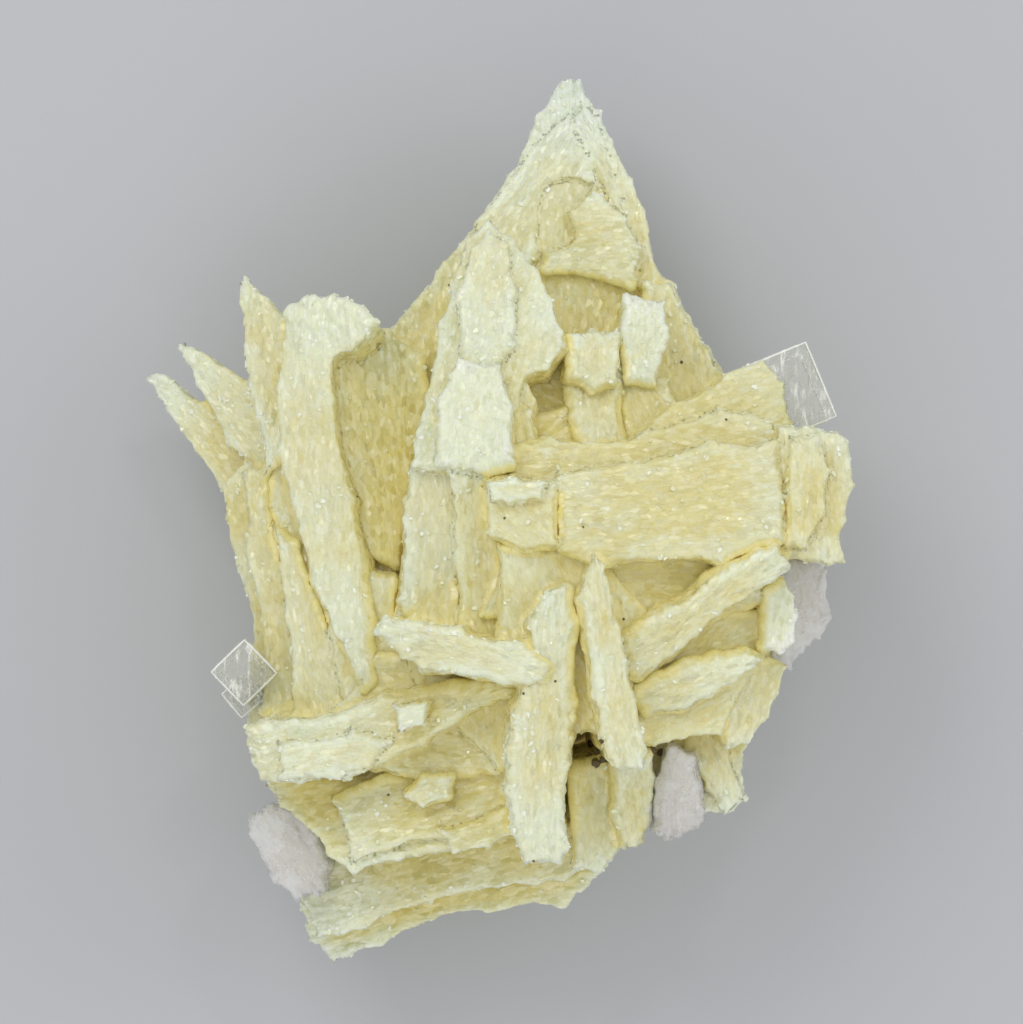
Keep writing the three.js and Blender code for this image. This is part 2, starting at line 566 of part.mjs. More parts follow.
// A fluorite cube of the given edge, its outer top corner at a point, turned on its own corner
function cube({ edge, corner, turn, towards, high }, grow = 0) {
  const size = edge + 2 * grow;
  const geometry = new THREE.BoxGeometry(size, size, size);
  const half = new THREE.Vector3(towards[0], towards[1], 0).multiplyScalar(edge / 2);
  half.applyAxisAngle(new THREE.Vector3(0, 0, 1), THREE.MathUtils.degToRad(turn));
  geometry.rotateZ(THREE.MathUtils.degToRad(turn));
  geometry.translate(corner[0] + half.x, corner[1] + half.y, high - edge / 2);
  return solidOf(geometry);
}

// Fluorite: a clear cube at the upper right, two clear cubes on the left rim and three broken lilac pieces
const CORNER_CUBE = [{ edge: 7.4, corner: [27.6, 16.3], turn: 22.5, towards: [-1, -1], high: 27 }];
const EDGE_CUBES = [
  { edge: 4.4, corner: [-25.9, -13.4], turn: 44, towards: [1, -1], high: 23.4 },
  { edge: 3, corner: [-25, -15.4], turn: 40, towards: [1, -1], high: 20.4 },
];
const SIDE_PLATE = {
  rim: [
    [25.4, -3], [28.4, -3.2], [29.4, -4.3], [29.6, -5.9], [30.2, -8.3], [28.8, -10.4], [26.1, -12.9],
    [24.4, -12.4], [24, -6],
  ],
  front: 23.4, back: 14.6, slope: [-0.25, 0], backSlope: [0.25, 0], root: [20, -8], shrink: 0.92,
  bevel: 0.6,
};
const LOWER_CHUNK = {
  rim: [
    [-18.1, -33.9], [-20.1, -32.3], [-21.2, -30.1], [-22.3, -28.1], [-22.3, -26.6], [-20.8, -25.7],
    [-18, -26.2], [-16.6, -28.4], [-15.4, -31], [-15.8, -33.4],
  ],
  front: 22.2, back: 11, slope: [0.1, -0.05], backSlope: [0.1, -0.2], root: [-10, -22], shrink: 0.9,
  bevel: 0.8,
};
const WEDGE = {
  rim: [
    [14.2, -27.8], [15.4, -28.5], [17.9, -27.4], [18.4, -26.2], [17.7, -21.4], [15.6, -20.2],
    [14.6, -23.4],
  ],
  front: 28.6, back: 19, slope: [0, 0.1], root: [12, -16], shrink: 0.92, bevel: 0.6,
};

function joined(solids) {
  return solids.reduce((whole, solid) => whole.add(solid));
}

// The half space above the surface that the specimen lies on
function aboveGround() {
  const side = 4 * HALF_LENGTH;
  const geometry = new THREE.BoxGeometry(side, side, side);
  geometry.translate(0, 0, side / 2);
  return solidOf(geometry);
}

const fluorite = {
  fluorite_corner_cube: (grow) => joined(CORNER_CUBE.map((item) => cube(item, grow))),
  fluorite_edge_cubes: (grow) => joined(EDGE_CUBES.map((item) => cube(item, grow))),
  fluorite_side_plate: (grow) => tablet(SIDE_PLATE, 101, grow),
  fluorite_lower_chunk: (grow) => tablet(LOWER_CHUNK, 102, grow),
  fluorite_wedge: (grow) => tablet(WEDGE, 103, grow),
};

let bariteBlades = joined(ALL_BLADES.map((blade, number) => tablet(blade, number + 1)));
Object.values(fluorite).forEach((make) => {
  bariteBlades = bariteBlades.subtract(make(GAP));
});
bariteBlades = bariteBlades.intersect(aboveGround());

function barite() {
  return new THREE.MeshStandardMaterial({ color: 0xdcd6ac, roughness: 0.55, metalness: 0 });
}

function clearFluorite() {
  return new THREE.MeshStandardMaterial({
    color: 0xe6e6dc, roughness: 0.12, metalness: 0, transparent: true, opacity: 0.45,
  });
}

function lilacFluorite() {
  return new THREE.MeshStandardMaterial({ color: 0xbfb6b4, roughness: 0.4, metalness: 0 });
}

const FLUORITE_LOOKS = {
  fluorite_corner_cube: clearFluorite,
  fluorite_edge_cubes: clearFluorite,
  fluorite_side_plate: lilacFluorite,
  fluorite_lower_chunk: lilacFluorite,
  fluorite_wedge: lilacFluorite,
};

const specimen = new THREE.Group();

function place(name, solid, material) {
  const mesh = new THREE.Mesh(geometryOf(solid), material);
  mesh.name = name;
  specimen.add(mesh);
}

place('barite_blades', bariteBlades, barite());
Object.entries(fluorite).forEach(([name, make]) => place(name, make(0), FLUORITE_LOOKS[name]()));

// The origin is the middle of the whole specimen's box, on the surface that it lies on
const middle = new THREE.Box3().setFromObject(specimen).getCenter(new THREE.Vector3());
specimen.position.set(-middle.x, -middle.y, 0);

export default specimen;
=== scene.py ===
"""A cream barite specimen, laid on a pale table and seen from straight above."""

import math

import bmesh
import bpy
from mathutils import Matrix, Vector


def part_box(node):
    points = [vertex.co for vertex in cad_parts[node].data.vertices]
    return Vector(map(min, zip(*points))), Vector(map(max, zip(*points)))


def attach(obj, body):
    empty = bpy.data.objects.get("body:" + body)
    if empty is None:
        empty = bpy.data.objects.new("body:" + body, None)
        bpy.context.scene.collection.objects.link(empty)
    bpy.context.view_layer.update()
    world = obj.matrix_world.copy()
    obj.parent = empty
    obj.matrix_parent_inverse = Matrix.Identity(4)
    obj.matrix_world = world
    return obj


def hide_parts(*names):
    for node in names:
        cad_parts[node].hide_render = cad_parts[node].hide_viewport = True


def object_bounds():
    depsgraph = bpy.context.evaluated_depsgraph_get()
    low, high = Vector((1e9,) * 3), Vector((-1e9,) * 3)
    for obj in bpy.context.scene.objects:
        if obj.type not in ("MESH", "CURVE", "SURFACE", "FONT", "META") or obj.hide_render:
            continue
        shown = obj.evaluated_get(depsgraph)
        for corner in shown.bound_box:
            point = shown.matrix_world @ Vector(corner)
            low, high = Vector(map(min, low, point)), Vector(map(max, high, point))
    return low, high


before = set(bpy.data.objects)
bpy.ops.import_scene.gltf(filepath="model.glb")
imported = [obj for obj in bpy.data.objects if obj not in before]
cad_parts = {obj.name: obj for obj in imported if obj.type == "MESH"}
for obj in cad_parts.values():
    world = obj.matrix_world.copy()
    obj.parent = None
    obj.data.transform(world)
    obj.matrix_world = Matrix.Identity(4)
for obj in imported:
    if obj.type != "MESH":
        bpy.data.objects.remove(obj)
cad_low, cad_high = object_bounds()

# The view: the specimen lies on its broken back under a camera that looks straight down.
# The photograph's frame is 1023 by 1024 pixels at 0.09 mm each,
# and its middle is a little off the specimen's.
MM = 0.001
PIXEL = 0.09 * MM
FRAME_MIDDLE = (511.5, 512)
ORIGIN_PIXEL = (498, 522.5)
CAMERA_HEIGHT = 1.5
MIDDLE_DEPTH = 20 * MM
SENSOR = 36

# The corner cube's middle in the specimen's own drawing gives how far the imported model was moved
CORNER_CUBE = {"edge": 7.4, "corner": (27.6, 16.3), "turn": 22.5, "towards": (-1, -1), "high": 27}


def cube_middle(item):
    """The middle of a fluorite cube, from the place of its outer top corner."""
    half = Vector(item["towards"]) * item["edge"] / 2
    half.rotate(Matrix.Rotation(math.radians(item["turn"]), 2))
    corner = Vector(item["corner"]) + half
    return Vector((corner.x, corner.y, item["high"] - item["edge"] / 2))


cube_low, cube_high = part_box("fluorite_corner_cube")
shift = (cube_low + cube_high) / 2 - cube_middle(CORNER_CUBE) * MM

camera = bpy.data.objects.new("camera", bpy.data.cameras.new("camera"))
bpy.context.scene.collection.objects.link(camera)
camera.data.sensor_width = SENSOR
camera.data.lens = SENSOR * (CAMERA_HEIGHT - MIDDLE_DEPTH) / (2 * FRAME_MIDDLE[0] * PIXEL)
camera.data.clip_start, camera.data.clip_end = 0.05, 20
camera.location = (
    (FRAME_MIDDLE[0] - ORIGIN_PIXEL[0]) * PIXEL + shift.x,
    (ORIGIN_PIXEL[1] - FRAME_MIDDLE[1]) * PIXEL + shift.y,
    CAMERA_HEIGHT,
)
bpy.context.scene.camera = camera
bpy.context.scene.view_settings.view_transform = "Standard"


def soft_light(name, place, size, power, colour):
    """A square studio lamp that points at the specimen."""
    lamp = bpy.data.lights.new(name, "AREA")
    lamp.size, lamp.energy, lamp.color = size, power, colour
    holder = bpy.data.objects.new(name, lamp)
    bpy.context.scene.collection.objects.link(holder)
    holder.location = place
    way = Vector((0, 0, MIDDLE_DEPTH)) - Vector(place)
    holder.rotation_euler = way.to_track_quat("-Z", "Y").to_euler()


soft_light("key_light", (-0.2, 0.3, 0.46), 0.25, 0.62, (1, 0.99, 0.96))
soft_light("glint_light", (0.12, 0.36, 0.6), 0.05, 0.15, (1, 1, 1))
soft_light("side_light", (0.42, 0.12, 0.3), 0.3, 0.35, (0.96, 0.98, 1))
soft_light("low_light", (-0.1, -0.42, 0.3), 0.35, 0.3, (1, 0.99, 0.96))

world = bpy.data.worlds.new("studio")
bpy.context.scene.world = world
world.use_nodes = True
world.node_tree.nodes["Background"].inputs["Color"].default_value = (0.97, 0.98, 1, 1)
world.node_tree.nodes["Background"].inputs["Strength"].default_value = 0.7

floor_mesh = bpy.data.meshes.new("pale_table")
floor_mesh.from_pydata([(-3, -3, 0), (3, -3, 0), (3, 3, 0), (-3, 3, 0)], [], [(0, 1, 2, 3)])
floor = bpy.data.objects.new("pale_table", floor_mesh)
bpy.context.scene.collection.objects.link(floor)
floor_paint = bpy.data.materials.new("pale_table")
floor_paint.use_nodes = True
floor_paint.node_tree.nodes["Principled BSDF"].inputs["Base Color"].default_value = (0.52, 0.53, 0.55, 1)
floor_paint.node_tree.nodes["Principled BSDF"].inputs["Roughness"].default_value = 0.8
floor_mesh.materials.append(floor_paint)


# The broken heart of the mass and the blades round its back. The specimen was broken off its rock here,
# so the heart is cut flat to lie on, and short blades stick out all round it, some flat and some on edge.
HEART = (0, -3)
HALF_WIDTH = 32
HALF_LENGTH = 40.3
CHIP_SPACING = 3.7
CHIP_DEPTH = 0.55
BEVEL = 0.55
FINE_SPACING = 0.8
FINE_DEPTH = 0.28
BROKEN_BACK = [
    {
        "rim": [
            (-13, 8.5), (-7, 13.5), (2, 12.5), (6, 14.5), (12, 10), (15.5, 3), (14.5, -4), (17, -10),
            (12.5, -17),
            (5, -21.5), (-2, -20), (-9, -23), (-14.5, -16), (-16.5, -7), (-13.5, 0),
        ],
        "front": 17, "back": -1, "shrink": 0.84, "bevel": 0.8,
    },
]
# Angle, reach, half width, lowest and highest point
BACK_BLADES = [
    (8, 25, 5.5, 6, 12), (26, 23, 2.2, -1, 19), (44, 22.5, 5, 3, 9.5), (62, 20, 2.4, -1, 16),
    (80, 31, 6.5, 2, 7.5), (104, 20, 2.1, 3, 15), (124, 20, 4.4, -1, 11.5), (146, 23, 2, 5, 17),
    (166, 22, 5.4, 2.5, 9.5), (186, 21.5, 2.4, -1, 18), (206, 22, 5.6, 6, 12.5), (226, 24, 2.4, -1, 14),
    (246, 26, 5.6, 4.5, 10), (268, 26, 2.4, -1, 15), (288, 25.5, 5.4, 5, 11.5), (306, 25, 2.4, -1, 18),
    (324, 24.5, 5.4, 4, 10.5), (346, 24, 2.1, 3.5, 17),
]
FIRST_BACK_BLADE = 58


def scatter(blade, point):
    """A number from 0 to 1 that stays the same for the same blade and point."""
    return math.sin(blade * 12.9898 + point * 78.233) * 43758.5453 % 1


def back_blade(degrees, reach, half, low, high):
    """A flat lozenge with a blunt outer end, pointing away from the heart."""
    along = Vector((math.cos(math.radians(degrees)), math.sin(math.radians(degrees))))
    across = Vector((-along.y, along.x))
    corners = [
        (5, half), (reach - 3.5, half * 0.85), (reach, half * 0.3), (reach - 0.8, -half * 0.6), (5, -half),
    ]
    rim = [Vector(HEART) + along * out + across * side for out, side in corners]
    return {"rim": rim, "front": high, "back": low, "shrink": 0.8, "bevel": 0.7}


def chipped_rim(rim, number, spacing, chip_depth):
    """A rim with small growth chips cut into its long edges; its corners stay where they are."""
    corners = [Vector(corner) for corner in rim]
    turns = sum(corner.cross(corners[index - 1]) for index, corner in enumerate(corners))
    if turns > 0:
        corners.reverse()
    points = []
    for index, start in enumerate(corners):
        edge = corners[(index + 1) % len(corners)] - start
        inward = Vector((-edge.y, edge.x)).normalized()
        pieces = max(1, math.floor(edge.length / spacing + 0.5))
        points.append(start)
        for piece in range(1, pieces):
            slide = (scatter(number, index + piece * 31) - 0.5) * 0.5
            depth = chip_depth * (0.25 + 0.75 * scatter(number + 0.5, index + piece * 17))
            points.append(start + edge * (piece + slide) / pieces + inward * depth)
    return points


def outline_frame(points):
    """The middle of an outline, its long and short directions, and how far it reaches along them."""
    across_box = [[point[axis] for point in points] for axis in (0, 1)]
    middle = Vector([(min(reach) + max(reach)) / 2 for reach in across_box])
    away = [point - middle for point in points]
    spread = sum(p.x * p.x for p in away) - sum(p.y * p.y for p in away)
    turn = 0.5 * math.atan2(2 * sum(p.x * p.y for p in away), spread)
    along = Vector((math.cos(turn), math.sin(turn)))
    across = Vector((-along.y, along.x))
    length = max(abs(p.dot(along)) for p in away)
    width = max(abs(p.dot(across)) for p in away)
    return middle, along, across, length, width


def wall_levels(number, thickness, bevel):
    """How high each ring of a blade lies, from 0 to 1, and how far it is set in: ledges first,
    then a round shoulder."""
    shoulder = 1 - bevel / thickness
    bands = max(2, round(thickness / LEDGE_HEIGHT))
    levels = [(0, 0)]
    for band in range(1, bands):
        rise = shoulder * (band + 0.4 * (scatter(number, 400 + band) - 0.5)) / bands
        before = LEDGE_DEPTH * (scatter(number, 500 + band) - 0.4)
        after = LEDGE_DEPTH * (scatter(number, 501 + band) - 0.4)
        levels += [(rise - LEDGE_STEP / thickness, before), (rise + LEDGE_STEP / thickness, after)]
    for step in range(SHOULDER_STEPS + 1):
        angle = math.pi / 2 * step / SHOULDER_STEPS
        rise = 1 - bevel * (1 - math.sin(angle)) / thickness
        levels.append((rise, RIM_GROWTH - bevel * (1 - math.cos(angle))))
    return levels


RIM_GROWTH = 0.15
LEDGE_HEIGHT = 2.6
LEDGE_DEPTH = 0.35
LEDGE_STEP = 0.12
SHOULDER_STEPS = 3


def blades_mesh(name, blades, first):
    """All blades of one group as closed solids. Each point knows its place in its own blade, in mm and
    as a share of the blade's reach, and how pale the blade is."""
    corners, faces, grain, span = [], [], [], []
    for number, blade in enumerate(blades, first):
        coarse = chipped_rim(blade["rim"], number, CHIP_SPACING, CHIP_DEPTH)
        middle, along, across, length, width = outline_frame(coarse)
        outline = chipped_rim(coarse, number + 0.25, FINE_SPACING, FINE_DEPTH)
        thickness = blade["front"] - blade["back"]
        root, shrink = Vector(blade.get("root", HEART)), blade.get("shrink", 1)
        slope, back_slope = Vector(blade.get("slope", (0, 0))), Vector(blade.get("back_slope", (0, 0)))
        start, count = len(corners), len(outline)
        levels = wall_levels(number, thickness, blade.get("bevel", BEVEL))
        for rise, inset in levels:
            for rim_point in outline:
                away = rim_point - middle
                out, side = away.dot(along), away.dot(across)
                point = middle + along * out * (1 + inset / length) + across * side * (1 + inset / width)
                top = blade["front"] + slope.dot(away)
                bottom = blade["back"] + back_slope.dot(away)
                point = root + (point - root) * (shrink + (1 - shrink) * rise)
                height = bottom + (top - bottom) * rise
                corners.append(Vector((point.x, point.y, height)) * MM + shift)
                grain.append((out + number * BLADE_STRIDE, side, height + number * BLADE_STRIDE))
                span.append((out / length, side / width, blade.get("pale", 0)))
        faces.append([start + index for index in reversed(range(count))])
        for ring in range(len(levels) - 1):
            low, high = start + ring * count, start + (ring + 1) * count
            for index in range(count):
                after = (index + 1) % count
                faces.append([low + index, low + after, high + after, high + index])
        last = start + (len(levels) - 1) * count
        faces.append([last + index for index in range(count)])
    mesh = bpy.data.meshes.new(name)
    mesh.from_pydata(corners, [], faces)
    for label, vectors in {"grain": grain, "span": span}.items():
        store = mesh.attributes.new(label, "FLOAT_VECTOR", "POINT")
        store.data.foreach_set("vector", [value for vector in vectors for value in vector])
    return mesh


BLADE_STRIDE = 41.7


class Wire:
    """A socket of a node tree. Sums of wires and numbers add the nodes that work them out."""

    def __init__(self, net, socket):
        self.net = net
        self.socket = socket

    def sum(self, operation, first, second):
        wires = [item for item in (first, second) if isinstance(item, Wire)]
        if any(wire.socket.type in ("VECTOR", "RGBA") for wire in wires):
            values = [(item,) * 3 if isinstance(item, (int, float)) else item for item in (first, second)]
            both = {0: values[0], 1: values[1]}
            return self.net.add("ShaderNodeVectorMath", {"operation": operation}, both)
        return self.net.add("ShaderNodeMath", {"operation": operation}, {0: first, 1: second})

    def __add__(self, other):
        return self.sum("ADD", self, other)

    def __radd__(self, other):
        return self.sum("ADD", other, self)

    def __sub__(self, other):
        return self.sum("SUBTRACT", self, other)

    def __rsub__(self, other):
        return self.sum("SUBTRACT", other, self)

    def __mul__(self, other):
        return self.sum("MULTIPLY", self, other)

    def __rmul__(self, other):
        return self.sum("MULTIPLY", other, self)

    def __truediv__(self, other):
        return self.sum("DIVIDE", self, other)

    def output(self, name):
        """Another output of the node that this wire comes from."""
        return Wire(self.net, self.net.find(self.socket.node.outputs, name))

    def dot(self, other):
        both = {0: self, 1: other}
        return self.net.add("ShaderNodeVectorMath", {"operation": "DOT_PRODUCT"}, both, "Value")

    def length(self):
        return self.net.add("ShaderNodeVectorMath", {"operation": "LENGTH"}, {0: self}, "Value")

    def unit(self):
        return self.net.add("ShaderNodeVectorMath", {"operation": "NORMALIZE"}, {0: self})

    def axis(self, index):
        return self.net.add("ShaderNodeSeparateXYZ", {}, {0: self}, index)

    def between(self, low, high, start=0, end=1):
        """The value mapped smoothly from low..high to start..end, and held at both ends."""
        settings = {"interpolation_type": "SMOOTHSTEP"}
        values = {"From Min": low, "From Max": high, "To Min": start, "To Max": end, "Value": self}
        return self.net.add("ShaderNodeMapRange", settings, values)


class Net:
    """A node tree that is written as expressions."""

    def __init__(self, tree):
        self.tree = tree

    def find(self, sockets, name):
        if isinstance(name, int):
            return sockets[name]
        return next(s for s in sockets if s.identifier == name or (s.name == name and s.enabled))

    def add(self, kind, settings=None, values=None, output=0):
        """One node: its settings first, then the values or wires of its inputs.
        Returns one of its outputs."""
        node = self.tree.nodes.new(kind)
        for name, setting in (settings or {}).items():
            setattr(node, name, setting)
        for name, value in (values or {}).items():
            for item in value if isinstance(value, list) else [value]:
                socket = self.find(node.inputs, name)
                if isinstance(item, Wire):
                    self.tree.links.new(item.socket, socket)
                else:
                    socket.default_value = item
        return Wire(self, self.find(node.outputs, output)) if node.outputs else None

    def mix(self, factor, first, second):
        """Two colours mixed."""
        values = {"Factor_Float": factor, "A_Color": first, "B_Color": second}
        return self.add("ShaderNodeMix", {"data_type": "RGBA"}, values, "Result_Color")

    def noise(self, place, scale, detail=2, roughness=0.5):
        return self.add("ShaderNodeTexNoise", {}, {
            "Vector": place, "Scale": scale, "Detail": detail, "Roughness": roughness,
        })

    def place(self):
        """The point's place on the object, in mm."""
        return self.add("ShaderNodeTexCoord", {}, {}, "Object") * (1 / MM)

    def stored(self, name, output="Fac"):
        """A value that the mesh holds for each point."""
        return self.add("ShaderNodeAttribute", {"attribute_name": name}, {}, output)

    def cells(self, place):
        """Three random numbers for each cell of a pattern, in 0 to 1."""
        values = {"Vector": place, "Scale": 1, "Randomness": 0.85}
        return self.add("ShaderNodeTexVoronoi", {}, values, "Color")

    def facets(self, grain, size, tilt):
        """Crystal faces: cells of the given size along, across and down the blade, each one
        set at a height of its own and tilted its own way. Runs from about -1 to 1."""
        place = grain / size
        cell = self.cells(place)
        lean = cell - 0.5
        return (lean.axis(0) * 2 + lean.dot(place - cell.output("Position")) * (2 * tilt)) / (1 + tilt)


def new_look(name):
    """A new material, and its node tree with nothing in it yet."""
    material = bpy.data.materials.new(name)
    material.use_nodes = True
    material.node_tree.nodes.clear()
    return material, Net(material.node_tree)


def input_value(net, name):
    """A named input of a geometry tree, as a wire."""
    if not hasattr(net, "inputs"):
        net.inputs = net.tree.nodes.new("NodeGroupInput")
    return Wire(net, net.inputs.outputs[name])


def new_geometry_tree(name, inputs):
    """A geometry tree with a geometry going in and out, and named inputs.
    Returns it with their identifiers."""
    tree = bpy.data.node_groups.new(name, "GeometryNodeTree")
    tree.interface.new_socket("Geometry", in_out="OUTPUT", socket_type="NodeSocketGeometry")
    tree.interface.new_socket("Geometry", in_out="INPUT", socket_type="NodeSocketGeometry")
    keys = {}
    for label, kind in inputs.items():
        keys[label] = tree.interface.new_socket(label, in_out="INPUT", socket_type=kind).identifier
    return tree, keys


def held_in(net, place):
    """The place, kept inside the specimen's own box."""
    lowest, highest = input_value(net, "Lowest"), input_value(net, "Highest")
    held = net.add("ShaderNodeVectorMath", {"operation": "MAXIMUM"}, {0: place, 1: lowest})
    return net.add("ShaderNodeVectorMath", {"operation": "MINIMUM"}, {0: held, 1: highest})


SKIN_INPUTS = {
    "Blades": "NodeSocketObject", "Solid": "NodeSocketObject", "Lamella height": "NodeSocketFloat",
    "Plate height": "NodeSocketFloat", "Crystal height": "NodeSocketFloat", "Paleness": "NodeSocketFloat",
    "Lowest": "NodeSocketVector", "Highest": "NodeSocketVector", "Material": "NodeSocketMaterial",
}
LAMELLA_SIZE = (8, 1.3, 4)
PLATE_SIZE = (2.3, 1, 1.5)
CRYSTAL_SIZE = (0.9, 0.55, 0.7)
PATCH_SIZE = (4.6, 1.9, 2.6)
WANDER_SCALE = 0.35
WANDER_REACH = (0.9, 0.35, 0.7)
WORN_HEIGHT = 0.25
SWELL_HEIGHT = 0.6
RIM_START = 0.5
RIM_CALM, RIM_ROUGH = 0.6, 1.7
FACET_DEPTH = 0.3 * MM
FACET_SIZE = (0.9, 0.4, 0.5)
PALE_ENDS = (26, 42)
CLEAR_ENDS = (34, 44)
HOLLOW_REACH = 13 * MM
HOLLOW_START = 0.8 * MM
RIM_PALENESS = 0.42
CLOUD_PALENESS = 0.45
PATCH_PALENESS = 0.2
PROUD_PALENESS = 0.15
ENDS_PALENESS = 0.35
HOLLOW_PAINTED_SHADE = 1.25
BURIED_REACH = 90 * MM
HOLLOW_FILL = 0.5
JOINT_JUMP = (0.3, 1.2)
BARITE_IOR = 1.64
FLUORITE_IOR = 1.434


def skin_tree():
    """The growth surface of the blades: long lamellae, plates on them and small crystals on those.
    It also stores how deep in a hollow each point lies, how far it stands proud, whether it lies
    where two blades meet, how much of it is buried in other blades, and a tone that is made darker
    in the hollows as painted shade."""
    tree, keys = new_geometry_tree("blade_skin", SKIN_INPUTS)
    net = Net(tree)
    position = net.add("GeometryNodeInputPosition")
    normal = net.add("GeometryNodeInputNormal")
    blades = net.add("GeometryNodeObjectInfo", {}, {"Object": input_value(net, "Blades")}, "Geometry")
    solid = net.add("GeometryNodeObjectInfo", {}, {"Object": input_value(net, "Solid")}, "Geometry")
    geometry = input_value(net, "Geometry")
    for label in ("grain", "span"):
        stored = net.add("GeometryNodeInputNamedAttribute", {"data_type": "FLOAT_VECTOR"}, {"Name": label})
        nearest = net.add("GeometryNodeSampleNearestSurface", {"data_type": "FLOAT_VECTOR"}, {
            "Mesh": blades, "Value": stored, "Sample Position": position,
        })
        geometry = net.add("GeometryNodeStoreNamedAttribute", {"data_type": "FLOAT_VECTOR"}, {
            "Geometry": geometry, "Name": label, "Value": nearest,
        })
    grain = net.add("GeometryNodeInputNamedAttribute", {"data_type": "FLOAT_VECTOR"}, {"Name": "grain"})
    wander = net.add("ShaderNodeTexNoise", {}, {
        "Vector": grain, "Scale": WANDER_SCALE, "Detail": 2,
    }, "Color")
    bent = grain + (wander - 0.5) * WANDER_REACH
    lamella = net.facets(bent, LAMELLA_SIZE, 0.35)
    plate = net.facets(bent, PLATE_SIZE, 0.7)
    crystal = net.facets(bent, CRYSTAL_SIZE, 0.9)
    worn = net.noise(grain, 1.7, 3, 0.6) - 0.5
    swell = net.noise(grain, 0.28, 2) - 0.5
    span = net.add("GeometryNodeInputNamedAttribute", {"data_type": "FLOAT_VECTOR"}, {"Name": "span"})
    reach = net.add("ShaderNodeVectorMath", {"operation": "ABSOLUTE"}, {0: span})
    rim = net.add("ShaderNodeMath", {"operation": "MAXIMUM"}, {0: reach.axis(0), 1: reach.axis(1)})
    height = (
        lamella * input_value(net, "Lamella height") + plate * input_value(net, "Plate height")
        + crystal * input_value(net, "Crystal height") + worn * WORN_HEIGHT
    ) * rim.between(RIM_START, 1, RIM_CALM, RIM_ROUGH) + swell * SWELL_HEIGHT
    near_hits, inner_hits = 0, 0
    for corner in [(x, y, z) for x in (-1, 1) for y in (-1, 1) for z in (-1, 1)]:
        way = (normal * 1.5 + corner).unit()
        ray = net.add("GeometryNodeRaycast", {}, {
            "Target Geometry": solid, "Source Position": position + normal * HOLLOW_START,
            "Ray Direction": way, "Ray Length": BURIED_REACH,
        }, "Is Hit")
        near = 1 - ray.output("Hit Distance") / HOLLOW_REACH
        facing = ray.output("Hit Normal").dot(way)
        inner = net.add("ShaderNodeMath", {"operation": "GREATER_THAN"}, {0: facing, 1: 0})
        near_hits = ray * net.add("ShaderNodeMath", {"operation": "MAXIMUM"}, {0: near, 1: 0}) + near_hits
        inner_hits = ray * inner + inner_hits
    hollow = net.add("GeometryNodeBlurAttribute", {}, {"Value": near_hits / 8, "Iterations": 3})
    buried = net.add("GeometryNodeBlurAttribute", {}, {"Value": inner_hits / 8, "Iterations": 4})
    place = position * (1 / MM)
    cloud = net.noise(place, 0.1, 3)
    patch = net.cells(bent / PATCH_SIZE).axis(0)
    ends = (place * (1, 1, 0) + (0, 3, 0)).length().between(*PALE_ENDS)
    # The tone: the blade's own paleness and patches, with painted shade that makes it darker in the
    # hollows.
    tone = (
        input_value(net, "Paleness") + rim.between(0.3, 1) * RIM_PALENESS
        + cloud.between(0.36, 0.64) * CLOUD_PALENESS + patch * PATCH_PALENESS + height * PROUD_PALENESS
        + ends * ENDS_PALENESS + span.axis(2) - hollow * HOLLOW_PAINTED_SHADE
    )
    fleck = net.noise(grain * (0.45, 2.4, 1.8), 1.2, 3, 0.65)
    spread = net.add("GeometryNodeBlurAttribute", {"data_type": "FLOAT_VECTOR"}, {
        "Value": grain, "Iterations": 1,
    })
    joint = (grain - spread).length().between(*JOINT_JUMP)
    stored = {
        "hollow": hollow, "tone": tone, "proud": height, "fleck": fleck, "joint": joint, "seam": buried,
        "buried": buried,
    }
    for label, value in stored.items():
        geometry = net.add("GeometryNodeStoreNamedAttribute", {}, {
            "Geometry": geometry, "Name": label, "Value": value,
        })
    raised = position + normal * ((height * (1 - hollow) + hollow.between(0.3, 0.8) * HOLLOW_FILL) * MM)
    held = held_in(net, raised)
    geometry = net.add("GeometryNodeSetPosition", {}, {"Geometry": geometry, "Position": held})
    geometry = net.add("GeometryNodeSetShadeSmooth", {}, {"Geometry": geometry})
    geometry = net.add("GeometryNodeRealizeInstances", {}, {"Geometry": geometry})
    geometry = net.add(
        "GeometryNodeSetMaterial", {}, {"Geometry": geometry, "Material": input_value(net, "Material")},
    )
    net.add("NodeGroupOutput", {}, {"Geometry": geometry})
    return tree, keys


# The barite's colours. The hollow shade gold and the gap glow are painted shade and a painted glow for the
# hollows and the seams where blades meet; gold also takes the painted shade of the hollows through the
# tone.
PALE = (0.83, 0.87, 0.64, 1)
CREAM = (0.79, 0.77, 0.46, 1)
GOLD = (0.76, 0.69, 0.31, 1)
HOLLOW_SHADE_GOLD = (0.86, 0.77, 0.33, 1)
FROST = (0.93, 0.95, 0.84, 1)
CLEAR_END = (0.74, 0.82, 0.7, 1)
NO_GLOW = (0, 0, 0, 1)
PAINTED_GAP_GLOW = (1, 0.84, 0.38, 1)


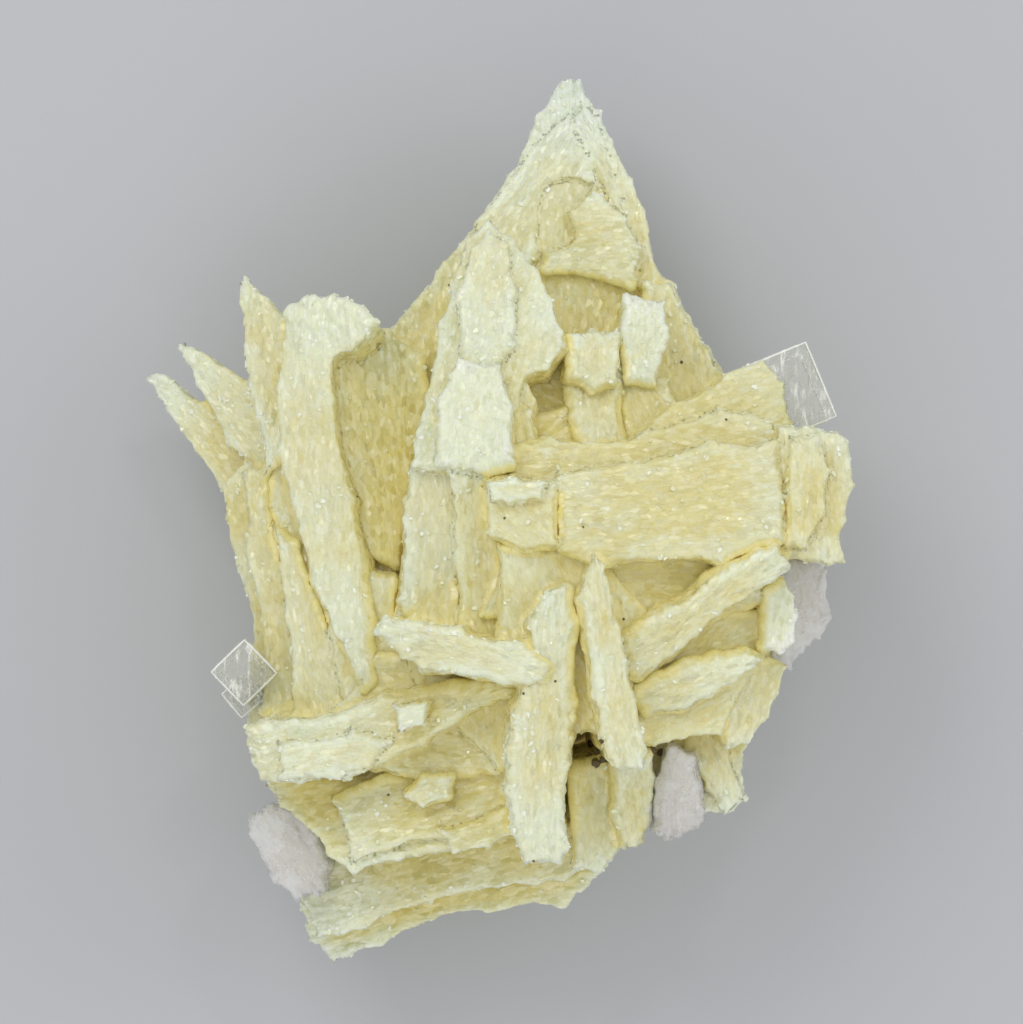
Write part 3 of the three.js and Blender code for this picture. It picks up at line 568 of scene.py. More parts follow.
def barite_look():
    """Barite: waxy and see-through at thin edges. It is cream on its faces, pale on its rims, and white
    and frosted where it stands proud. In its hollows and where blades meet it carries painted shade
    in a deep gold, and where blades meet a faint painted glow, for light coming through the crystal."""
    material, net = new_look("cream_barite")
    place = net.place()
    grain = net.stored("grain", "Vector")
    hollow = net.stored("hollow")
    tone = net.stored("tone")
    proud = net.stored("proud")
    fleck = net.stored("fleck")
    joint = net.stored("joint")
    seam = net.stored("seam")
    # The stored tone carries painted shade from the hollows, as well as the blade's own paleness.
    streaked_tone_and_shade = tone + (fleck - 0.5) * 1.1
    colour = net.mix(streaked_tone_and_shade.between(0, 0.42), GOLD, CREAM)
    colour = net.mix(streaked_tone_and_shade.between(0.4, 0.95), colour, PALE)
    colour = net.mix(streaked_tone_and_shade.between(1.1, 1.5) * 0.8, colour, FROST)
    # Painted shade: the hollows and the seams where blades meet are turned a deep gold.
    colour = net.mix((hollow + seam).between(0.25, 0.6), colour, HOLLOW_SHADE_GOLD)
    colour = net.mix((proud * 0.6 + fleck).between(0.6, 0.85) * 0.45, colour, FROST)
    ends = (place * (1, 1, 0) + (0, 3, 0)).length().between(*CLEAR_ENDS)
    colour = net.mix(ends * 0.8, colour, CLEAR_END)
    face = net.cells(grain / (0.7, 0.4, 0.5))
    colour = net.mix(face.axis(0).between(0.45, 1) * 0.2, colour, FROST)
    rough = 0.16 + face.axis(1) * 0.3 + (fleck - 0.5) * 0.4
    bump = net.add("ShaderNodeBump", {}, {
        "Strength": 1, "Distance": FACET_DEPTH, "Height": net.facets(grain, FACET_SIZE, 1.6) * (1 - joint),
    })
    shader = net.add("ShaderNodeBsdfPrincipled", {"subsurface_method": "RANDOM_WALK"}, {
        "Base Color": colour, "Roughness": rough, "Normal": bump, "IOR": BARITE_IOR,
        "Subsurface Weight": 0.35, "Subsurface Radius": (1, 0.85, 0.42), "Subsurface Scale": 2 * MM,
        # A faint painted glow along the seams where blades meet, for light coming through the crystal.
        "Emission Color": net.mix(seam.between(0.1, 0.5), NO_GLOW, PAINTED_GAP_GLOW), "Emission Strength": 0.07,
    })
    net.add("ShaderNodeOutputMaterial", {}, {"Surface": shader})
    return material


cream_barite = barite_look()
blade_skin, skin_keys = skin_tree()
FRONT_GRID = 0.24 * MM
BACK_GRID = 0.36 * MM


def baked(holder):
    """The object's mesh with its modifiers worked in."""
    graph = bpy.context.evaluated_depsgraph_get()
    mesh = bpy.data.meshes.new_from_object(
        holder.evaluated_get(graph), preserve_all_data_layers=True, depsgraph=graph,
    )
    holder.modifiers.clear()
    return mesh


def thin_buried(holder):
    """Thins the skin where it lies inside the other blades, so that the fine mesh is kept
    for what shows."""
    levels = [item.value for item in holder.data.attributes["buried"].data]
    hidden = [index for index, level in enumerate(levels) if level > BURIED_LEVEL]
    holder.vertex_groups.new(name="buried").add(hidden, 1, "REPLACE")
    thin = holder.modifiers.new("thin", "DECIMATE")
    thin.vertex_group = "buried"
    thin.ratio = 1 - BURIED_CUT * len(hidden) / len(levels)
    holder.data = baked(holder)
    holder.vertex_groups.clear()
    holder.data.attributes.remove(holder.data.attributes["buried"])
    holder.data.validate()


BURIED_LEVEL = 0.97
BURIED_CUT = 0.92


BARITE = {"look": cream_barite, "slot": "cream_barite", "node": "barite_blades"}


FACE_HEIGHTS = (0.07, 0.12, 0.13)
SMOOTH_HEIGHTS = (0.06, 0.08, 0.09)


def grow_blades(name, blades, first, paleness=0.1, grid=FRONT_GRID, heights=FACE_HEIGHTS, kind=BARITE):
    """One group of blades grown together: joined in one closed skin, then given its growth surface."""
    pattern = bpy.data.objects.new(name + "_pattern", blades_mesh(name + "_pattern", blades, first))
    holder = bpy.data.objects.new(name, pattern.data.copy())
    for item in (pattern, holder):
        bpy.context.scene.collection.objects.link(item)
    join = holder.modifiers.new("join", "REMESH")
    join.mode, join.voxel_size = "VOXEL", grid
    skin = holder.modifiers.new("skin", "NODES")
    skin.node_group = blade_skin
    values = {
        "Blades": pattern, "Solid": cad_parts["barite_blades"], "Lamella height": heights[0],
        "Plate height": heights[1], "Crystal height": heights[2], "Paleness": paleness,
        "Lowest": cad_low, "Highest": cad_high, "Material": kind["look"],
    }
    for label, value in values.items():
        skin[skin_keys[label]] = value
    holder.data = baked(holder)
    thin_buried(holder)
    holder.data.name = name
    bpy.data.objects.remove(pattern)
    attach(holder, "root")
    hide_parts(kind["node"])
    return holder


broken_back = grow_blades("broken_back", BROKEN_BACK, 1, -0.1, BACK_GRID)
back_rows = [back_blade(*row) for row in BACK_BLADES]
back_blades = grow_blades("back_blades", back_rows, FIRST_BACK_BLADE, 0, BACK_GRID)


# The long tip: a thin pointed plate that stands behind all the others, pale towards its end.
# Two ribs, an overhanging tablet and a shoulder have grown on its face.
LONG_TIP = [
    {
        "rim": [
            (5.7, 40), (6.4, HALF_LENGTH), (7.2, 40), (9.1, 37.1), (10.2, 34.8), (12.1, 31), (13.4, 28.2),
            (13.6, 26.4), (14.3, 23), (15.8, 21.7), (17.3, 18.5), (19.1, 15.7), (20.5, 13.2), (18, 4),
            (2, 2), (-9.5, 8), (-10, 17.4), (-5.1, 23.6), (0.9, 31.5), (2.2, 33.5), (3.4, 36.9),
            (4.8, 38.7),
        ],
        "front": 16, "back": 8, "slope": (0.05, -0.12), "back_slope": (0, 0.12), "root": (4, 6),
        "shrink": 0.95, "bevel": 0.7,
    },
    {
        "rim": [
            (6.5, 37.2), (3, 34), (0.5, 30.5), (-2, 27.2), (-3.4, 22), (2, 21.5), (3.8, 23.8), (3.6, 27),
            (4.2, 30), (6, 31), (8.8, 30.6), (9, 33),
        ],
        "front": 15.3, "back": 9, "slope": (0.08, -0.12), "root": (4, 10), "shrink": 0.97, "bevel": 1.1,
    },
    {
        "rim": [
            (6.6, 35.6), (7.4, 38.4), (9, 36.6), (10, 34.4), (11.9, 30.6), (13.2, 28), (13.4, 26.2),
            (14, 23),
            (13.4, 20.8), (11.8, 22.6), (11.5, 26), (10.4, 28.4), (9, 31),
        ],
        "front": 15.5, "back": 9, "slope": (-0.15, -0.14), "root": (4, 10), "shrink": 0.97, "bevel": 1.1,
    },
    {
        "rim": [
            (4, 22.6), (12.1, 21.2), (13, 24.6), (11.5, 27.5), (8.6, 30), (6.4, 28), (7.1, 25.6),
            (4.7, 24.2),
        ],
        "front": 17, "back": 13.4, "slope": (0.1, -0.2), "back_slope": (0, -0.3), "root": (8, 30),
        "shrink": 0.92,
    },
    {
        "rim": [(3.4, 22), (12.6, 21.5), (13.4, 16), (12.6, 6), (2, 6), (3, 16)],
        "front": 16.5, "back": 6, "slope": (0.1, -0.12), "shrink": 0.94,
    },
    {
        "rim": [
            (13, 21.8), (15.6, 21.4), (17.1, 18.4), (18.9, 15.6), (20.3, 13), (19, 8), (13.4, 6),
            (13, 12),
        ],
        "front": 20, "back": 7, "slope": (-0.35, -0.2), "shrink": 0.93,
    },
]
long_tip = grow_blades("long_tip", LONG_TIP, 2)


# The middle column: a steep barite blade in front of the long tip.
# Broad tablets and a small leaf have grown on its face, and it widens towards the heart.
MIDDLE_COLUMN = [
    {
        "rim": [
            (-0.7, 27.2), (-2.7, 25.6), (-4.3, 21.3), (-4.5, 19.1), (-5.3, 18.2), (-5.7, 14.2),
            (-6.5, 11.4),
            (-7.2, 8.3), (-7.8, 4.9), (-1.1, 3.6), (1.1, 7.4), (2, 10.4), (2.4, 13), (4.4, 13.6),
            (6.1, 15.7),
            (5.8, 17.2), (4.9, 19.8), (3.6, 22.6), (1.2, 25.6),
        ],
        "front": 28, "back": 8, "slope": (0.05, -0.42), "shrink": 0.86,
    },
    {
        "rim": [
            (-0.8, 26.6), (-2.4, 24.8), (-3.7, 20.4), (-3.4, 14.5), (-0.6, 13.2), (1.6, 16), (1.5, 21),
            (0.9, 25),
        ],
        "front": 27.6, "back": 20, "slope": (-0.1, -0.4), "shrink": 0.9,
    },
    {
        "rim": [(-5.5, 11.2), (-3.6, 14.8), (0.2, 14.2), (1.3, 10.6), (1.3, 5.2), (-1.2, 4.4), (-5.8, 5)],
        "front": 33.2, "back": 22, "slope": (-0.05, -0.12), "shrink": 0.88, "bevel": 0.7,
        "pale": 0.12,
    },
    {
        "rim": [(2.6, 12.6), (3.4, 11), (3.2, 8.4), (2.4, 7.6), (1.9, 9.6), (2.1, 11.8)],
        "front": 28.5, "back": 19, "slope": (-0.1, -0.1), "shrink": 0.8, "bevel": 0.35,
    },
    {
        "rim": [(-7.8, 5), (-4.4, 5.4), (-3.4, -2), (-3.2, -9), (-6, -12), (-8.9, -7), (-8.4, 0.2)],
        "front": 30.4, "back": 10, "slope": (0.25, 0.02), "shrink": 0.9,
    },
    {
        "rim": [(-4.6, 5.4), (-1, 4.6), (-0.2, 0), (0.6, -4), (1, -8), (0.2, -11), (-3.8, -11), (-3.9, -3)],
        "front": 32, "back": 10, "slope": (-0.2, 0.05), "shrink": 0.9,
    },
]
middle_column = grow_blades("middle_column", MIDDLE_COLUMN, 8, 0.16)


# The left column: a round-topped blade with a hollow yellow face beside it.
# Three thin spikes fan out from behind it to the left.
LEFT_COLUMN = [
    {
        "rim": [
            (-19.3, 18.9), (-18.6, 19.8), (-17.2, 20.5), (-14.7, 20.8), (-12.2, 19.5), (-10.9, 18),
            (-11.8, 16.7),
            (-13, 15.4), (-14.8, 15), (-14.7, 11), (-14.1, 6.5), (-12.9, 2), (-12.1, -3.4), (-11.4, -8.8),
            (-11.2, -14.4), (-12.2, -15.2), (-14.6, -10.2), (-16.9, -5.2), (-18.7, 2), (-19.8, 6.5),
            (-20, 12),
        ],
        "front": 25.8, "back": 8, "slope": (0.22, -0.06), "shrink": 0.76, "bevel": 0.7,
    },
    {
        "rim": [
            (-15.4, 16), (-11.5, 17.4), (-10, 17.4), (-7, 15), (-6.2, 9), (-7, 2), (-9, -4), (-12.6, -2),
            (-14.6, 6),
        ],
        "front": 22.5, "back": 6, "slope": (-0.45, -0.2), "shrink": 0.8,
    },
    {
        "rim": [
            (-22.6, 12.6), (-23.1, 17.8), (-23.7, 21.8), (-22.9, 22.5), (-20.9, 20.3), (-19.2, 18.4),
            (-17.5, 8),
            (-21, 4),
        ],
        "front": 20, "back": 14, "slope": (0.35, -0.2), "back_slope": (-0.1, 0.2),
        "shrink": 0.94,
    },
    {
        "rim": [
            (-28.8, 16.3), (-29.3, 15.8), (-27.7, 13.5), (-27.3, 12.4), (-26.3, 11), (-24.6, 7), (-20, 3),
            (-17.5, 8), (-22.4, 12.5), (-24.7, 14), (-26.5, 15.3),
        ],
        "front": 16.5, "back": 10.5, "slope": (0.4, -0.15), "back_slope": (-0.3, 0),
        "shrink": 0.95,
    },
    {
        "rim": [
            (-HALF_WIDTH, 13.2), (-31.4, 13.6), (-30.2, 13.3), (-28.8, 12), (-26.3, 10.7), (-22, 8),
            (-17, 2),
            (-22, -2), (-25.1, 3.2), (-27.4, 6.3), (-30, 10), (-31, 11.5),
        ],
        "front": 13.6, "back": 8, "slope": (0.28, -0.12), "back_slope": (-0.2, 0),
        "shrink": 0.95,
    },
    {
        "rim": [(-20.8, 8.5), (-17.6, 8), (-15, 0), (-13.4, -9), (-15.4, -12), (-18.6, -5), (-20.6, 1.5)],
        "front": 22.6, "back": 12, "slope": (0.3, -0.12), "shrink": 0.92,
    },
]
left_column = grow_blades("left_column", LEFT_COLUMN, 14, 0.12)


# The left flank: long upright barite fibres side by side behind a thin ragged rim.
LEFT_FLANK = [
    {
        "rim": [
            (-25.2, 3.4), (-24.8, 0.4), (-24.3, -2.1), (-23.8, -4.4), (-22.3, -8.4), (-22.5, -11.5),
            (-22.9, -15),
            (-22.7, -18.4), (-14, -20), (-8, -14), (-9, 0), (-16, 6), (-22, 7),
        ],
        "front": 19.5, "back": 6, "slope": (0.42, 0), "shrink": 0.62,
    },
    {
        "rim": [
            (-23.2, 4.6), (-20.8, 5), (-19.4, -4), (-17.6, -13), (-18.6, -18), (-21.6, -17), (-21.4, -9),
            (-22.8, -3),
        ],
        "front": 21.4, "back": 12, "slope": (0.2, -0.02), "shrink": 0.95,
    },
    {
        "rim": [
            (-20.4, 0), (-18.2, -2), (-15.6, -9), (-13.2, -13.4), (-14.2, -18), (-18.4, -18.4), (-19, -9),
        ],
        "front": 24.4, "back": 12, "slope": (0.25, -0.04), "shrink": 0.95,
    },
    {
        "rim": [
            (-15.4, -7.4), (-12.6, -4), (-9.4, -5), (-8.6, -11), (-9.6, -15.4), (-13.6, -17),
            (-14.8, -12),
        ],
        "front": 26.2, "back": 12, "slope": (0.18, -0.03), "shrink": 0.95,
    },
]
left_flank = grow_blades("left_flank", LEFT_FLANK, 20, -0.1)


# The great cross blade: a thick slab of barite that lies across the right half.
# It ends in smaller tablets at both sides, and a ledge has grown behind it.
CROSS_BLADE = [
    {
        "rim": [
            (1.2, 6.5), (4.7, 7.7), (8.6, 7.2), (11, 7.3), (13.2, 8.2), (16.1, 8.8), (19.9, 10.2),
            (22.6, 9.6),
            (25.6, 8.4), (26, 3), (25.7, -1.8), (19.9, -3.4), (14, -3.2), (9.6, -3.4), (5.5, -2.6),
            (1.6, -2.2),
        ],
        "front": 31.4, "back": 16, "slope": (-0.04, -0.28), "back_slope": (-0.2, -0.55), "root": (2, 2),
        "shrink": 0.82,
    },
    {
        "rim": [
            (5.2, 4.4), (9, 5), (14, 5.6), (19, 7.2), (24.9, 7.2), (25.3, 2.4), (25.5, -1.8), (19.9, -3.6),
            (14, -3.4), (9.6, -3.7), (5.6, -2.6),
        ],
        "front": 34.4, "back": 24, "slope": (-0.04, -0.16), "back_slope": (0, -0.6), "root": (12, 6),
        "shrink": 0.94,
        "bevel": 0.75,
    },
    {
        "rim": [(-1.3, 3.7), (1.6, 4), (5.4, 3.6), (5.4, -2.2), (2.2, -2.6), (-0.9, -1.2)],
        "front": 35.2, "back": 24, "slope": (0.05, -0.1), "root": (4, 6), "shrink": 0.86, "bevel": 0.7,
    },
    {
        "rim": [(-1.1, 3.6), (1.4, 3.9), (4.2, 3.5), (3.8, 2.1), (1, 1.8), (-0.5, 2)],
        "front": 36.4, "back": 30, "slope": (0, -0.1), "root": (4, 6), "shrink": 0.9, "bevel": 0.4,
        "pale": 0.45,
    },
    {
        "rim": [
            (25, 8.6), (28, 8.5), (30.4, 8.2), (31.2, 7.2), (HALF_WIDTH, 3.2), (31.1, 1.7), (31.1, 0.2),
            (30.5, -1.1), (31.1, -3.6), (29.5, -3.8), (27.5, -3.2), (25.4, -3.4), (24.4, 2),
        ],
        "front": 31.8, "back": 19, "slope": (-0.3, -0.06), "back_slope": (0.2, -0.2), "root": (10, 2),
        "shrink": 0.93,
    },
    {
        "rim": [(26, 7.6), (28.6, 7.8), (29.6, 4.6), (29.2, 0.8), (27.4, -2.4), (26, -2), (25.9, 3)],
        "front": 33.2, "back": 24, "slope": (-0.2, -0.06), "root": (10, 2), "shrink": 0.94, "bevel": 0.5,
    },
    {
        "rim": [
            (12.4, 8), (15.6, 10.6), (20.5, 13.3), (23.8, 14.8), (25.6, 12.4), (26.4, 8.6), (20, 7),
            (14, 6),
        ],
        "front": 28.2, "back": 15, "slope": (-0.05, -0.2), "back_slope": (0.1, 0), "root": (8, 2),
        "shrink": 0.92,
    },
]
cross_blade = grow_blades("cross_blade", CROSS_BLADE, 24, -0.26, FRONT_GRID, SMOOTH_HEIGHTS)


# The pale tablet and the stubs beside it, grown between the cross blade and the long tip.
PALE_TABLETS = [
    {
        "rim": [
            (6.3, 17), (11, 17.2), (11.2, 13.2), (10.6, 10), (11.4, 6.8), (7.6, 6.4), (6.6, 9.4),
            (6.2, 13),
        ],
        "front": 25.6, "back": 10, "slope": (-0.1, -0.3), "shrink": 0.9, "bevel": 0.7,
    },
    {
        "rim": [(6.3, 16.9), (8.6, 17.3), (11, 17), (10.6, 12.6), (8.4, 11.8), (6.5, 13)],
        "front": 26.8, "back": 19, "slope": (-0.1, -0.2), "shrink": 0.92, "bevel": 0.6,
    },
    {
        "rim": [(11.4, 20.4), (15, 20), (15.4, 16.6), (14, 12.4), (11.6, 12.8), (11, 16)],
        "front": 24.4, "back": 12, "slope": (0, -0.25), "shrink": 0.92, "bevel": 0.6,
        "pale": 0.5,
    },
    {
        "rim": [(10.6, 13), (15.4, 13), (16.4, 8), (11.4, 6.6)],
        "front": 24.6, "back": 8, "slope": (0, -0.2), "shrink": 0.92,
    },
    {
        "rim": [(2.4, 9), (6.8, 10.4), (8, 6), (2.4, 5)],
        "front": 25.6, "back": 8, "slope": (0.1, 0), "shrink": 0.95,
    },
]
pale_tablets = grow_blades("pale_tablets", PALE_TABLETS, 31, 0.2)


# The right fan: four thin blades seen on edge, the glassy face that they rise from
# and the broad flank under them.
RIGHT_FAN = [
    {
        "rim": [(4.5, -1), (24, -1), (25, -4.4), (23.8, -7), (16, -10.6), (11, -11), (6, -7)],
        "front": 31.4, "back": 7, "slope": (-0.12, 0.12), "shrink": 0.66,
    },
    {
        "rim": [
            (12, -13), (18, -8), (24.4, -8), (25.6, -12.6), (25.2, -15.4), (24.3, -17.6), (22.7, -19.8),
            (22.2, -22.1), (22.5, -25), (21.2, -26.2), (18.2, -26.5), (14.6, -24), (10, -23), (8, -16),
        ],
        "front": 25, "back": 5, "slope": (-0.2, 0.12), "shrink": 0.6,
    },
    {
        "rim": [
            (21.4, -11.8), (25.9, -12.8), (25.3, -15.4), (24.3, -17.6), (22.7, -19.8), (20.4, -20.4),
            (20.2, -15.4),
        ],
        "front": 27.6, "back": 15, "slope": (-0.35, 0), "shrink": 0.84,
    },
    {
        "rim": [
            (16.6, -17), (20.6, -15.6), (20.8, -21), (22.2, -24.6), (20.4, -26.4), (18.6, -24),
            (17, -20.6),
        ],
        "front": 24.8, "back": 14, "slope": (-0.2, 0.06), "shrink": 0.9,
    },
    {
        "rim": [
            (4.4, -6.2), (2.6, -9), (2.2, -14.7), (1.3, -17), (0.8, -19.9), (0.7, -24), (1.2, -27.2),
            (2.5, -30.5),
            (5.6, -30.5), (6.2, -29), (6.5, -21.7), (6.8, -16.2), (7, -8.9), (6.2, -5.6),
        ],
        "front": 36.4, "back": 10, "slope": (-0.1, 0.1), "shrink": 0.82, "bevel": 0.9,
    },
    {
        "rim": [
            (8.6, -2.7), (7.7, -4.8), (7.2, -6.9), (7.9, -10.5), (8.5, -15.4), (9, -18.5), (9.8, -21.1),
            (10.5, -22.1), (13, -22.1), (13.4, -20.5), (12.9, -18.5), (12.3, -15.4), (11.6, -12.3),
            (10.9, -9.4),
            (10.4, -6.7), (9.5, -3.8),
        ],
        "front": 38, "back": 11, "slope": (-0.08, 0.04), "shrink": 0.82, "bevel": 0.9,
    },
    {
        "rim": [
            (10.6, -10.4), (12.7, -9), (14.9, -7.4), (16.9, -6.7), (18.7, -5), (20.7, -3.7), (23, -2.5),
            (24.9, -2), (25.7, -3.2), (26.2, -4.2), (24.6, -5.3), (22.1, -6.9), (19.8, -8.3), (17.8, -10.1),
            (15.6, -11.9), (12.7, -13.8), (11, -13.4),
        ],
        "front": 34.6, "back": 12, "slope": (0, 0.12), "root": (4, -4), "shrink": 0.84, "bevel": 0.9,
    },
    {
        "rim": [
            (11.8, -15.2), (14.1, -13.8), (16.7, -12.6), (19.4, -11.9), (22.1, -11.5), (24, -12.2),
            (22.7, -13),
            (21.1, -14.4), (19.1, -15.6), (16.7, -16.7), (13.6, -17.2),
        ],
        "front": 32, "back": 12, "slope": (-0.12, 0.1), "root": (4, -6), "shrink": 0.86, "bevel": 0.8,
    },
    {
        "rim": [
            (24, -6), (25.4, -5.2), (26.7, -6.6), (26.9, -8.4), (26.6, -10.6), (25.5, -11.7),
            (23.8, -11.2),
        ],
        "front": 31, "back": 17, "slope": (0.1, 0), "shrink": 0.86, "bevel": 0.6,
        "pale": 0.7,
    },
    {
        "rim": [(2.4, -1.4), (4.7, -1.6), (4, -5), (2.4, -8.3), (-1.5, -8.2), (0.2, -5)],
        "front": 33.2, "back": 20, "slope": (0.05, 0.08), "shrink": 0.86, "bevel": 0.5,
    },
    {
        "rim": [
            (10.4, -20.6), (13.8, -20.8), (14.2, -23), (13.6, -26.9), (13.2, -28.9), (11.2, -29.6),
            (10.4, -26),
        ],
        "front": 27.6, "back": 8, "slope": (0, 0.3), "shrink": 0.78,
    },
]
right_fan = grow_blades("right_fan", RIGHT_FAN, 36)


# The lower shingles: barite plates that lie on each other like roof tiles
# and step back and down towards the lower left.
LOWER_SHINGLES = [
    {
        "rim": [
            (-11.1, -9.8), (-10.3, -8.3), (-6.9, -8.8), (-3.2, -9.2), (-2.2, -10.1), (2.3, -10.6),
            (4.7, -12.7),
            (4.2, -14.2), (2.8, -14.5), (0.5, -14.4), (-3.6, -13.5), (-6.9, -13.3), (-8.7, -12),
            (-9.8, -10.9),
        ],
        "front": 37.6, "back": 18, "slope": (0.06, 0.1), "root": (2, -12), "shrink": 0.78, "bevel": 0.9,
    },
    {
        "rim": [
            (-20.6, -17.6), (-15.5, -17.4), (-10.4, -15.4), (-4, -14.5), (0.2, -14), (2.2, -15.2),
            (-0.7, -16),
            (-3.3, -17.6), (-6.5, -19.8), (-10.4, -21.5), (-13.6, -23.1), (-14.6, -22.7), (-17.7, -23.5),
            (-20, -23.2), (-21.2, -23.1), (-22.1, -21.5), (-22.7, -18.4),
        ],
        "front": 31, "back": 12, "slope": (0.2, -0.14), "back_slope": (0, -0.5), "root": (0, -8),
        "shrink": 0.88, "bevel": 0.9,
    },
    {
        "rim": [(-19.6, -19.6), (-13, -18.6), (-9.4, -19.4), (-11.6, -21.8), (-14.4, -22.6), (-19.4, -23)],
        "front": 31.2, "back": 22, "slope": (0.14, -0.1), "root": (0, -8), "shrink": 0.95, "bevel": 0.5,
    },
    {
        "rim": [(-9.4, -16.4), (-6.2, -16), (-6.6, -18), (-8.8, -18.8)],
        "front": 34, "back": 25, "slope": (0.14, 0), "root": (0, -8), "shrink": 0.95, "bevel": 0.35,
        "pale": 0.9,
    },
    {
        "rim": [
            (-21.2, -23.6), (-19.6, -25.7), (-17.1, -27.6), (-15.4, -30), (-13, -31.9), (-11.3, -30.9),
            (-7.1, -30.1), (-4, -29.5), (-0.7, -29.1), (1.2, -27.9), (3.6, -24), (2, -18), (-6, -17),
            (-16, -20),
        ],
        "front": 24, "back": 7, "slope": (0.16, -0.42), "back_slope": (0, -0.5), "root": (0, -8),
        "shrink": 0.68, "bevel": 0.9,
    },
    {
        "rim": [
            (-15, -25), (-10, -23), (-3, -21.6), (1.2, -22), (1.2, -26.6), (-4, -28.4), (-10, -29.4),
            (-13, -30.6),
        ],
        "front": 26.6, "back": 16, "slope": (0.08, -0.3), "root": (0, -8), "shrink": 0.94, "bevel": 0.6,
    },
    {
        "rim": [(-8.5, -24.6), (-6.6, -22.9), (-3.8, -22.6), (-4.4, -24.6), (-6.8, -25.6)],
        "front": 28.2, "back": 20, "slope": (0.1, -0.2), "root": (0, -8), "shrink": 0.9, "bevel": 0.4,
        "pale": 0.5,
    },
    {
        "rim": [(-5.2, -27.6), (0.8, -25.6), (1.3, -27.8), (-0.7, -29.2), (-4, -29.6)],
        "front": 28.6, "back": 20, "slope": (0.06, -0.2), "root": (0, -8), "shrink": 0.92, "bevel": 0.4,
    },
    {
        "rim": [
            (-18.2, -34.2), (-17.3, -38.2), (-16.1, -38.8), (-15, -HALF_LENGTH), (-14, -39.6),
            (-10.6, -38.4),
            (-7.1, -36.5), (-3.3, -35.2), (-0.9, -35.5), (2.5, -34.6), (6, -35), (7.9, -33.3), (9.3, -31.7),
            (11, -29.6), (9.6, -24), (2, -24), (-12, -26), (-17.4, -29.5),
        ],
        "front": 17, "back": 6, "slope": (0.2, -0.1), "back_slope": (0.1, -0.35), "root": (0, -10),
        "shrink": 0.78, "bevel": 0.9,
    },
    {
        "rim": [
            (-17.6, -34), (-16.4, -37.6), (-12, -36.8), (-6, -34.2), (0, -33), (6, -32.4), (9, -30.4),
            (9, -25),
            (-4, -26), (-14, -29),
        ],
        "front": 20.4, "back": 12, "slope": (0.22, -0.06), "root": (0, -10), "shrink": 0.92, "bevel": 0.6,
    },
    {
        "rim": [(6.4, -22), (9.6, -21), (10.6, -25), (10.8, -29.4), (9.2, -31.6), (6.8, -31)],
        "front": 25.6, "back": 14, "slope": (-0.1, 0.2), "shrink": 0.9,
    },
]
lower_shingles = grow_blades("lower_shingles", LOWER_SHINGLES, 47)


# The inner mass: golden barite that fills the gaps between the blades near the heart,
# some millimetres below their edges.
INNER_MASS = [
    {
        "rim": [
            (-6, 8), (-2, 13), (3, 10), (5, 2), (4, -8), (5, -20), (0, -22), (-6, -17), (-9.5, -10),
            (-8.4, 2),
        ],
        "front": 29, "back": 12, "slope": (0.15, 0), "shrink": 0.9,
    },
    {
        "rim": [(0, -2), (9, -3), (13, -8), (12, -16), (9, -18.6), (5, -19), (0, -12)],
        "front": 33.6, "back": 14, "slope": (-0.1, 0), "shrink": 0.9,
    },
    {
        "rim": [(-15, -17), (-11, -12), (-6, -11.6), (2, -14), (3, -22), (-6, -23), (-14, -22)],
        "front": 27.6, "back": 12, "slope": (0.12, 0.05), "shrink": 0.9,
    },
    {
        "rim": [(9, -10), (20, -7.6), (24, -8.4), (24, -12), (20, -19), (14, -20), (10, -18)],
        "front": 30.2, "back": 12, "slope": (-0.18, 0.05), "shrink": 0.9,
    },
    {
        "rim": [(1.5, 13.5), (4.5, 17), (12, 17), (15, 13), (15, 6), (4, 6)],
        "front": 23.2, "back": 8, "slope": (0, -0.25), "shrink": 0.9,
    },
]
inner_mass = grow_blades("inner_mass", INNER_MASS, 76, -0.1)


# The small crystals: short lozenges of barite that sit on the blades, half sunk in their skin.
# They catch the light, and lie along the blade that they grew on.
LOZENGE = [(-0.6, -0.08), (-0.3, -0.36), (0.52, -0.26), (0.6, 0.14), (-0.36, 0.32)]
LOZENGE_LEVELS = [(-0.3, 0.8), (0.12, 1)]
PER_SQUARE_MM = 0.9
SMALLEST_SIZE = (0.15, 0.25, 0.5)
LARGEST_SIZE = (0.5, 0.7, 0.9)
SMALL_CRYSTAL_INPUTS = {
    "Crystal": "NodeSocketObject", "Per area": "NodeSocketFloat", "Smallest": "NodeSocketVector",
    "Largest": "NodeSocketVector", "Lowest": "NodeSocketVector", "Highest": "NodeSocketVector",
    "Material": "NodeSocketMaterial", "Seed": "NodeSocketInt",
}


def lozenge_mesh():
    """One small crystal, 1.2 mm long, with a sharp shoulder."""
    corners = [
        Vector((x * reach, y * reach, height)) * MM for height, reach in LOZENGE_LEVELS for x, y in LOZENGE
    ]
    count = len(LOZENGE)
    faces = [list(reversed(range(count))), [count + index for index in range(count)]]
    for index in range(count):
        after = (index + 1) % count
        faces.append([index, after, count + after, count + index])
    mesh = bpy.data.meshes.new("small_crystal")
    mesh.from_pydata(corners, [], faces)
    return mesh


